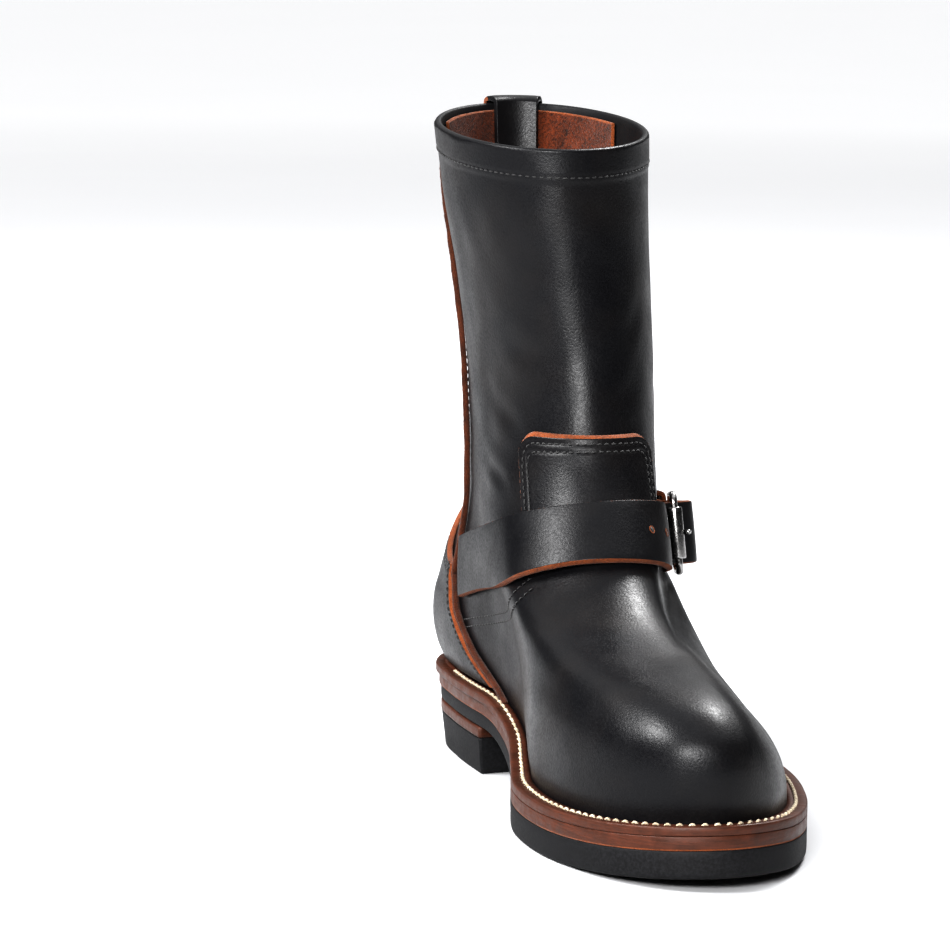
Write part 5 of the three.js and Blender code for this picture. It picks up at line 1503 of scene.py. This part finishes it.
@dataclass
class Strapping:
    """Ankle strap, buckle strap, keeper and roller buckle on the outer side."""

    last: Last
    skin: Skin
    finishes: Finishes
    gap: float = 0.3
    trim_gap: float = 0.8
    thickness: float = 2.4
    guard_thickness: float = 2.0
    buckle_length: float = 24.0
    buckle_height: float = 32.0
    wire: float = 3.2
    roller_wall: float = 1.0
    prong: float = 2.4
    keeper_width: float = 9.0
    keeper_thickness: float = 1.8
    roller_around: float = 0.345
    half_width: float = 12.0
    fold_back: float = 8.0
    step: float = 5.0
    reach: float = 3.0
    lean: float = 9.0

    def __post_init__(self) -> None:
        """Work out the lifts of what lies at the buckle, and the buckle's directions."""
        girth = self.skin.girth
        self.radius = self.wire / 2.0
        self.loop_gap = 2.5 * self.gap
        self.roller_radius = self.radius + self.gap + self.roller_wall
        self.bed = self.trim_gap + self.thickness / 2.0
        self.over_layer = self.bed + self.thickness + self.loop_gap
        self.loop_radius = self.radius + self.loop_gap + self.thickness / 2.0
        self.bar_lift = self.bed + self.loop_radius
        self.under_roller = self.roller_radius + self.loop_gap + self.thickness / 2.0
        self.over_loop = self.loop_radius + self.thickness + self.loop_gap
        self.bar_around = self.roller_around - (self.buckle_length - self.wire) / girth
        bar = self.edges(np.array([self.bar_around]), self.bar_lift, self.bar_lift)[:, 0]
        lift = self.bed + self.under_roller
        roller = self.edges(np.array([self.roller_around]), lift, lift)[:, 0]
        self.bar_spot = (bar[0] + bar[2]) / 2.0
        roller_spot = (roller[0] + roller[2]) / 2.0
        self.upward = unit(bar[2] - bar[0] + roller[2] - roller[0])
        ahead = roller_spot - self.bar_spot
        ahead = ahead - self.upward * (ahead @ self.upward)
        self.span = float(np.linalg.norm(ahead))
        self.ahead = unit(ahead)
        out = np.cross(self.ahead, self.upward)
        self.outward = out * np.sign(out[0])

    def spot(self, around: Array, columns: Sequence[int], lift: Array) -> Array:
        """Return points on the strap's low or high edge, or on its middle line with both."""
        share = sum(read_table(STRAP_EDGES, column, around) for column in columns) / len(columns)
        return self.skin.at(around, self.skin.level(around, share), lift)

    def edges(self, around: Array, low_lift: Array, high_lift: Array, square: Array = 1.0) -> Array:
        """Find the strap's low edge, middle and high edge, square to its run.

        Each edge point slides along its edge until it is square to the run, by five corrections.
        The strap lies straight across its width where the upper is hollow.

        Args:
            around: Places of the strap's middle line.
            low_lift: Lifts of the low edge.
            high_lift: Lifts of the high edge.
            square: Share of the way from upright rows, 0, to square ones, 1.

        Returns:
            Three rows of points.
        """
        stride = 2.0 / self.skin.girth
        bare = self.spot(around, (1, 2), 0.0)
        run = self.spot(around + stride, (1, 2), 0.0) - self.spot(around - stride, (1, 2), 0.0)
        scale = np.linalg.norm(run, axis=-1) / (2.0 * stride)
        run = unit(run)
        sides = []
        for column, lift in ((1, low_lift), (2, high_lift)):
            place = around.copy()
            for _ in range(5):
                place = place - ((self.spot(place, (column,), 0.0) - bare) * run).sum(axis=-1) / scale
            sides.append(self.spot(mix(around, place, square), (column,), lift))
        chord = (sides[0] + sides[1]) / 2.0
        laid = self.spot(around, (1, 2), (np.asarray(low_lift) + high_lift) / 2.0)
        higher = ((laid - chord) * (laid - bare)).sum(axis=-1, keepdims=True) > 0.0
        return np.stack([sides[0], np.where(higher, laid, chord), sides[1]])

    @staticmethod
    def taut(lines: Array, turns: int = 700) -> Array:
        """Pull lines of points taut over the form under them, each point staying at its height.

        A point moves to the middle of its neighbours where that is further from the ankle's middle, and
        plain rounds of averaging then ease the bends.

        Args:
            lines: Rows of points, with their ends fixed.
            turns: Number of rounds.

        Returns:
            The rows, bridging the hollows.
        """
        lines = lines.copy()
        middle = lines[..., :2].mean(axis=(0, 1)) + (0.0, 22.0)
        for _ in range(turns):
            here = lines[:, 1:-1, :2]
            half = (lines[:, :-2, :2] + lines[:, 2:, :2]) / 2.0
            further = ((half - here) * (here - middle)).sum(axis=-1, keepdims=True) > 0.0
            lines[:, 1:-1, :2] = np.where(further, half, here)
        for axes, rounds in ((slice(0, 2), 60), (slice(2, 3), 150)):
            for _ in range(rounds):
                near = lines[:, :-2, axes] + lines[:, 2:, axes]
                lines[:, 1:-1, axes] = (near + 2.0 * lines[:, 1:-1, axes]) / 4.0
        return lines

    def at_buckle(self, ahead: Array, up: Array, out: Array) -> Array:
        """Return points given ahead, up and out from the middle of the buckle's bar."""
        ahead, up, out = (np.asarray(v, float)[..., None] for v in np.broadcast_arrays(ahead, up, out))
        return self.bar_spot + ahead * self.ahead + up * self.upward + out * self.outward

    def across_buckle(self, ahead: Array, out: Array, half: float) -> Array:
        """Return the three edge rows of a strap that passes through the buckle."""
        return np.stack([self.at_buckle(ahead, side * half, out) for side in (-1.0, 0.0, 1.0)])

    def sheet(self, route: Array, hint: Array) -> tuple[Sheet, float]:
        """Make a smooth strap surface through three edge rows of stations.

        The stations are spaced evenly along the middle line, and the sheet's rows cross it on a
        parabola through the low edge, the middle and the high edge.

        Args:
            route: Three rows of stations.
            hint: Rough outward direction at the middle.

        Returns:
            The sheet and its length.
        """
        reach = reach_along(route[1])
        count = int(reach[-1] / 1.2)
        goal = np.linspace(0.0, reach[-1], count)
        lines = np.stack([read_path(row, reach, goal) for row in route])
        kernel = np.array([1.0, 2.0, 3.0, 2.0, 1.0]) / 9.0
        ends = 2 * lines[:, :1] - lines[:, 2:0:-1], 2 * lines[:, -1:] - lines[:, -2:-4:-1]
        padded = np.concatenate([ends[0], lines, ends[1]], axis=1)
        eased = sum(weight * padded[:, k:k + count] for k, weight in enumerate(kernel))
        t = np.linspace(0.0, 1.0, 9)[:, None, None]
        rows = eased[0] * (2 * t - 1) * (t - 1) + eased[1] * 4 * t * (1 - t) + eased[2] * t * (2 * t - 1)
        return Sheet(rows, False, hint), float(reach[-1])

    def strap_piece(self, node: str, route: Array, hint: Array, columns: int,
                    seed: int) -> tuple[Sheet, float]:
        """Cut a strap with raw edges along a route and write it.

        Args:
            node: CAD node that it stands for.
            route: Three rows of stations.
            hint: Rough outward direction at the middle.
            columns: Grid lines along the strap.
            seed: Seed of the raw edge's jitter.

        Returns:
            The strap's sheet and length.
        """
        sheet, length = self.sheet(route, hint)
        half = self.thickness / 2.0
        cut = Cut(length, 2.0 * self.half_width, self.thickness, 0.75, columns, 26, 0.07)
        solid = leather_panel(
            cut, lambda s, t, lift: sheet.at(s, t, lift - half),
            lambda d, s, t: 0.12 * np.sin(math.pi * t) - 0.1 * (1.0 - smooth(0.5, 2.5, d)), seed)
        write_piece(node + "_band", solid, self.finishes.panel, (node,))
        return sheet, length

    def build(self) -> None:
        """Build the straps, the keeper and the buckle."""
        self.ankle_strap()
        self.buckle_strap()
        self.keeper()
        self.frame()
        self.roller()
        self.prong_piece()

    def ankle_strap(self) -> None:
        """Strap from the inner seam over the guard, through the buckle and down to its round tip."""
        girth = self.skin.girth
        front = 0.42 - (self.lean + 1.0 + self.step) / girth
        around = np.linspace(0.857, front, 140)
        past = np.maximum(around - 0.612, 0.42 - around) * girth - self.lean
        rise = (self.guard_thickness + self.trim_gap) * (1.0 - smooth(1.0, 1.0 + self.step, past))
        lift = self.bed + self.gap + rise
        first = self.taut(self.edges(around, lift - 0.15 * rise, lift, 1.0 - smooth(0.44, 0.56, around)))
        ahead = np.linspace(self.span + self.reach, -self.fold_back - self.reach, 40)
        under = smooth(self.loop_radius, self.span - self.radius, ahead)
        second = self.across_buckle(ahead, mix(self.over_loop, -self.under_roller, under), self.half_width)
        back = self.bar_around - (self.fold_back + self.reach + 2.0 * self.step) / girth
        around = np.linspace(back, 0.176, 30)
        third = self.edges(around, self.over_layer, self.over_layer)
        corner = 9.0
        near = np.clip(1.0 - (around - 0.176) * girth / corner, 0.0, 1.0)
        trim = (corner * (1.0 - np.sqrt(1.0 - near * near)) / self.half_width)[:, None]
        third = np.stack([mix(third[0], third[1], trim), third[1], mix(third[2], third[1], trim)])
        route = np.concatenate([first, second, third], axis=1)
        sheet, length = self.strap_piece("ankle_strap", route, np.array([0.0, -1.0, 0.3]), 300, 21)
        self.holes(sheet, length, reach_along(route[1])[140])

    def holes(self, sheet: Sheet, length: float, at_roller: float) -> None:
        """Punch prong holes ahead of the roller: a dark plug, which is painted shade for the hole's depth,
        inside a ring of raw fibre.
        """
        rims, shade_plugs = [], []
        angle = np.linspace(0.0, 2.0 * math.pi, 28, endpoint=False)
        top = self.thickness / 2.0 + 0.12
        for before in (9.0, 21.0, 33.0):
            s0 = (at_roller - before) / length
            s = s0 + 1.25 * np.cos(angle) / length
            t = 0.5 + 1.25 * np.sin(angle) / (2.0 * self.half_width)
            rims.append(tube(sheet.at(s, t, top), sheet.out(s, t), round_profile(0.5, 0.4, 8), True))
            # A black disc just under the strap's face is painted shade standing for the inside of the hole.
            path = sheet.at(s0, 0.5, top + np.array([-0.6, -0.3, 0.0, 0.05]))
            run = sheet.at(s0 + 0.01, 0.5) - sheet.at(s0, 0.5)
            shade_plugs.append(tube(path, np.broadcast_to(run, path.shape), round_profile(2.1, 2.1, 20)))
        write_piece("strap_hole_rims", Solid.joined(rims), (self.finishes.edge,))
        write_piece("strap_hole_shade_plugs", Solid.joined(shade_plugs), (self.finishes.jet,))

    def buckle_strap(self) -> None:
        """Short strap from the outer seam, round the buckle's bar and back on itself."""
        until = self.bar_around - self.step / self.skin.girth
        around = np.linspace(0.166, until, 40)
        first = self.edges(around, self.bed, self.bed)
        turn = np.linspace(-0.5, 0.5, 30) * math.pi
        half = self.half_width - 1.0
        second = self.across_buckle(self.loop_radius * np.cos(turn), self.loop_radius * np.sin(turn), half)
        ahead = np.linspace(-1.0, -self.fold_back, 10)
        third = self.across_buckle(ahead, np.full(10, self.loop_radius), half)
        route = np.concatenate([first, second, third], axis=1)
        self.strap_piece("buckle_strap", route, np.array([1.0, 0.0, 0.0]), 160, 22)

    def keeper(self) -> None:
        """Keeper band over the strap's tip, down to the upper at both edges."""
        foot = self.trim_gap + self.keeper_thickness / 2.0
        top = self.over_layer + self.thickness / 2.0 + self.loop_gap + self.keeper_thickness / 2.0
        half = self.keeper_width / 2.0 / self.skin.girth
        margin = self.keeper_thickness / 2.0 + 2.0 * self.loop_gap
        rows = []
        for step in np.linspace(-half, half, 7):
            around = np.array([0.198 + step])
            low, _, high = self.edges(around, foot, foot)[:, 0]
            out_low, _, out_high = self.edges(around, top, top)[:, 0]
            wide = unit(high - low) * margin
            low, high, out_low, out_high = low - wide, high + wide, out_low - wide, out_high + wide
            turn = np.linspace(0.0, math.pi / 2.0, 8)[:, None]
            rise = np.linspace(0.0, 1.0, 10)[:, None]
            over = unit(out_high - out_low) * 1.6
            up = unit(out_low - low) * 1.6
            rows.append(np.vstack([
                mix(low, out_low - up, rise),
                out_low - up + over + up * np.sin(turn) - over * np.cos(turn),
                mix(out_low + over, out_high - over, np.linspace(0.0625, 0.9375, 24)[:, None]),
                out_high - over - up + over * np.sin(turn) + up * np.cos(turn),
                mix(out_high - up, high, rise),
            ]))
        sheet = Sheet(np.stack(rows), False, np.array([1.0, 0.0, 0.0]))
        cut = Cut(reach_along(rows[3])[-1], self.keeper_width, self.keeper_thickness, 0.6, 90, 12, 0.05)
        half = self.keeper_thickness / 2.0
        solid = leather_panel(cut, lambda s, t, lift: sheet.at(s, t, lift - half), seed=24)
        write_piece("keeper_band", solid, self.finishes.panel, ("strap_keeper",))

    def frame(self) -> None:
        """Buckle frame: a rounded rectangle of flattened wire."""
        corner = 3.0
        side = self.buckle_height / 2.0 - self.radius - corner
        route = []
        turn = np.linspace(0.0, math.pi / 2.0, 14)
        for number, (ahead, up) in enumerate(((corner, -side), (self.span - corner, -side),
                                              (self.span - corner, side), (corner, side))):
            angle = turn + (number + 2) * math.pi / 2.0
            route.append(np.stack([ahead + corner * np.cos(angle), up + corner * np.sin(angle)], axis=1))
        flat = np.vstack(route)
        flat = spaced(np.vstack([flat, flat[:1]]), 200)[:-1]
        path = self.at_buckle(flat[:, 0], flat[:, 1], 0.0)
        out = np.broadcast_to(self.outward, path.shape)
        solid = tube(path, out, round_profile(self.wire, self.wire * 0.86, 24, 0.82), closed=True)
        write_piece("buckle_frame_ring", solid, (self.finishes.nickel,), ("buckle_frame",))

    def roller(self) -> None:
        """Roller on the frame's front bar, its ends turned in."""
        half = self.buckle_height / 2.0 - self.wire - 3.0
        inner, outer = self.radius + 0.12, self.roller_radius
        profile = [(inner, -half), (outer - 0.35, -half), (outer - 0.08, -half + 0.15), (outer, -half + 0.5),
                   (outer, half - 0.5), (outer - 0.08, half - 0.15), (outer - 0.35, half), (inner, half)]
        angle = np.linspace(0.0, 2.0 * math.pi, 48, endpoint=False)
        rings = [self.at_buckle(self.span + r * np.cos(angle), up, r * np.sin(angle)) for r, up in profile]
        solid = ring_solid(np.stack(rings), True)
        materials = (self.finishes.nickel,)
        write_piece("buckle_roller_tube", solid, materials, ("buckle_roller",))

    def prong_piece(self) -> None:
        """Prong from the bar up through the strap's hole to the roller, thinner towards its tip."""
        radius = self.prong / 2.0
        over_roller = self.roller_radius + self.gap + radius
        span = self.span
        knots = np.array([(span * 0.12, 1.4), (span * 0.3, 3.4), (span * 0.55, over_roller + 0.7),
                          (span * 0.8, over_roller + 0.5), (span, over_roller),
                          (span + self.roller_radius, over_roller)])
        t = np.linspace(0.0, 1.0, 60)
        steps = np.linspace(0.0, 1.0, len(knots))
        ahead = np.interp(t, steps, knots[:, 0])
        out = np.polyval(np.polyfit(steps, knots[:, 1], 3), t)
        path = self.at_buckle(ahead, 0.0, out)
        tip = np.clip(1.0 - np.clip((t - 0.96) / 0.045, 0, 1) ** 2, 0.02, 1)
        size = radius * (1.0 - 0.25 * t) * np.sqrt(tip)
        profile = round_profile(2.0, 2.0, 18)[None] * size[:, None, None]
        solid = tube(path, np.broadcast_to(self.outward, path.shape), profile)
        write_piece("buckle_prong_pin", solid, (self.finishes.nickel,), ("buckle_prong",))


@dataclass(frozen=True)
class Studio:
    """Pale floor, soft lights and the camera at the photograph's angle."""

    azimuth: float = -17.249
    elevation: float = 8.0
    roll: float = 0.808
    distance: float = 1742.4
    focal_pixels: float = 4688.1
    frame_pixels: float = 950.0
    target_across: float = -54.67
    target_height: float = 123.38
    sensor: float = 36.0
    dome_dark: float = 0.03
    dome_bright: float = 0.9
    sun_strength: float = 1.35
    sun_spread: float = 100.0
    floor_half: float = 30.0
    gamma: float = 0.76

    def build(self) -> None:
        """Set the floor, the lights, the world and the camera."""
        bpy.context.scene.view_settings.view_transform = "Standard"
        bpy.context.scene.view_settings.gamma = self.gamma
        self.floor()
        self.world()
        self.sun()
        self.light("toe_box", (-900.0, -1400.0, 800.0), (-20.0, -140.0, 50.0), 900.0, 420.0, 66.0)
        self.light("left_box", (-1500.0, 150.0, 1450.0), (0.0, 0.0, 100.0), 900.0, 700.0, 78.0)
        self.light("back_box", (1050.0, 900.0, 1750.0), (0.0, -120.0, 60.0), 640.0, 620.0, 66.0)
        self.camera()

    def floor(self) -> None:
        """Lay a wide pale floor under the boot."""
        half = self.floor_half
        mesh = bpy.data.meshes.new("floor")
        corners = ((-half, -half, 0.0), (half, -half, 0.0), (half, half, 0.0), (-half, half, 0.0))
        mesh.from_pydata(corners, [], [(0, 1, 2, 3)])
        floor = bpy.data.objects.new("floor", mesh)
        paint = Paint("pale_floor")
        share = paint.ramp(paint.noise(3.0, 2.0), 0.3, 0.7)
        tone = paint.blend(share, (0.5, 0.502, 0.51), (0.51, 0.512, 0.52))
        away = paint.node("ShaderNodeVectorMath", operation="LENGTH")
        paint.join(paint.place, away.inputs[0])
        glow = paint.ramp(away.outputs["Value"], 0.6, 4.0, 0.0, 0.56)
        mesh.materials.append(paint.finish(Base_Color=tone, Roughness=0.7, Specular_IOR_Level=0.1,
                                           Emission_Color=(1.0, 1.0, 1.0), Emission_Strength=glow))
        bpy.context.scene.collection.objects.link(floor)

    def world(self) -> None:
        """Light the scene from a dome that is pale above and behind the boot and dim in front of it.

        Its strength is dim + (bright - dim) max(rise of z, rise of y), each rise a smooth step of
        the direction's part.
        """
        world = bpy.data.worlds.new("studio")
        world.use_nodes = True
        nodes = Nodes(world.node_tree)
        way = nodes.node("ShaderNodeTexCoord").outputs["Generated"]
        parts = nodes.node("ShaderNodeSeparateXYZ", Vector=way).outputs
        rises = [nodes.ramp(parts[axis], low, 1.0, 0.0, top, "SMOOTHSTEP")
                 for axis, low, top in (("Z", 0.55, 1.0), ("Y", 0.3, 0.12))]
        strength = nodes.ramp(nodes.sum(*rises, "MAXIMUM"), 0.0, 1.0, self.dome_dark, self.dome_bright)
        shade = nodes.tree.nodes["Background"]
        nodes.join(strength, shade.inputs["Strength"])
        nodes.join((0.97, 0.98, 1.0, 1.0), shade.inputs["Color"])
        bpy.context.scene.world = world

    def sun(self) -> None:
        """Hang a wide soft sun over the back, which lights the floor evenly to its edge."""
        lamp = bpy.data.lights.new("overhead", "SUN")
        lamp.energy = self.sun_strength
        lamp.angle = math.radians(self.sun_spread)
        body = bpy.data.objects.new("overhead", lamp)
        from_above = unit(np.array([0.15, 0.45, 1.0]))
        body.matrix_world = self.look(np.zeros(3), from_above, np.array([0.0, 1.0, 0.0]))
        bpy.context.scene.collection.objects.link(body)

    def light(self, name: str, place: Sequence[float], target: Sequence[float], width: float, height: float,
              power: float) -> None:
        """Hang a soft box.

        Args:
            name: Name of the light.
            place: Its place in millimetres.
            target: Where it points, in millimetres.
            width: Its width in millimetres.
            height: Its height in millimetres.
            power: Its power in watts.
        """
        lamp = bpy.data.lights.new(name, "AREA")
        lamp.shape = "RECTANGLE"
        lamp.size = width * MM
        lamp.size_y = height * MM
        lamp.energy = power
        body = bpy.data.objects.new(name, lamp)
        way = np.array(target) - np.array(place)
        body.matrix_world = self.look(np.array(place), -unit(way), np.array([0.0, 0.0, 1.0]))
        bpy.context.scene.collection.objects.link(body)

    @staticmethod
    def look(place: Array, back: Array, up_hint: Array) -> Matrix:
        """Return a matrix at a place in millimetres whose -Z looks against back."""
        right = unit(np.cross(up_hint, back))
        up = np.cross(back, right)
        rows = [[*(float(v[k]) for v in (right, up, back)), float(place[k]) * MM] for k in range(3)]
        return Matrix(rows + [[0.0, 0.0, 0.0, 1.0]])

    def camera(self) -> None:
        """Place the camera: back from its target by azimuth, elevation and distance, then rolled."""
        turn, rise, roll = (math.radians(value) for value in (self.azimuth, self.elevation, self.roll))
        back = np.array([math.sin(turn) * math.cos(rise), -math.cos(turn) * math.cos(rise), math.sin(rise)])
        right = np.array([math.cos(turn), math.sin(turn), 0.0])
        up = np.cross(back, right)
        target = right * self.target_across + np.array([0.0, 0.0, self.target_height])
        place = target + back * self.distance + np.array([*SHIFT, 0.0])
        tilted = -right * math.sin(roll) + up * math.cos(roll)
        lens = bpy.data.cameras.new("camera")
        lens.sensor_fit = "HORIZONTAL"
        lens.sensor_width = self.sensor
        lens.lens = self.focal_pixels / self.frame_pixels * self.sensor
        lens.clip_end = 100.0
        body = bpy.data.objects.new("camera", lens)
        body.matrix_world = self.look(place, back, tilted)
        bpy.context.scene.collection.objects.link(body)
        bpy.context.scene.camera = body


def main() -> None:
    """Build the boot from the sole up, then the studio."""
    last = Last()
    skin = Skin(last)
    finishes = Finishes()
    for part in (Bottom(last, finishes), Shaft(last, skin, finishes), Trim(last, skin, finishes),
                 Strapping(last, skin, finishes), Studio()):
        part.build()


if __name__ == "__main__":
    logging.basicConfig(level=logging.INFO, format="%(message)s")
    main()
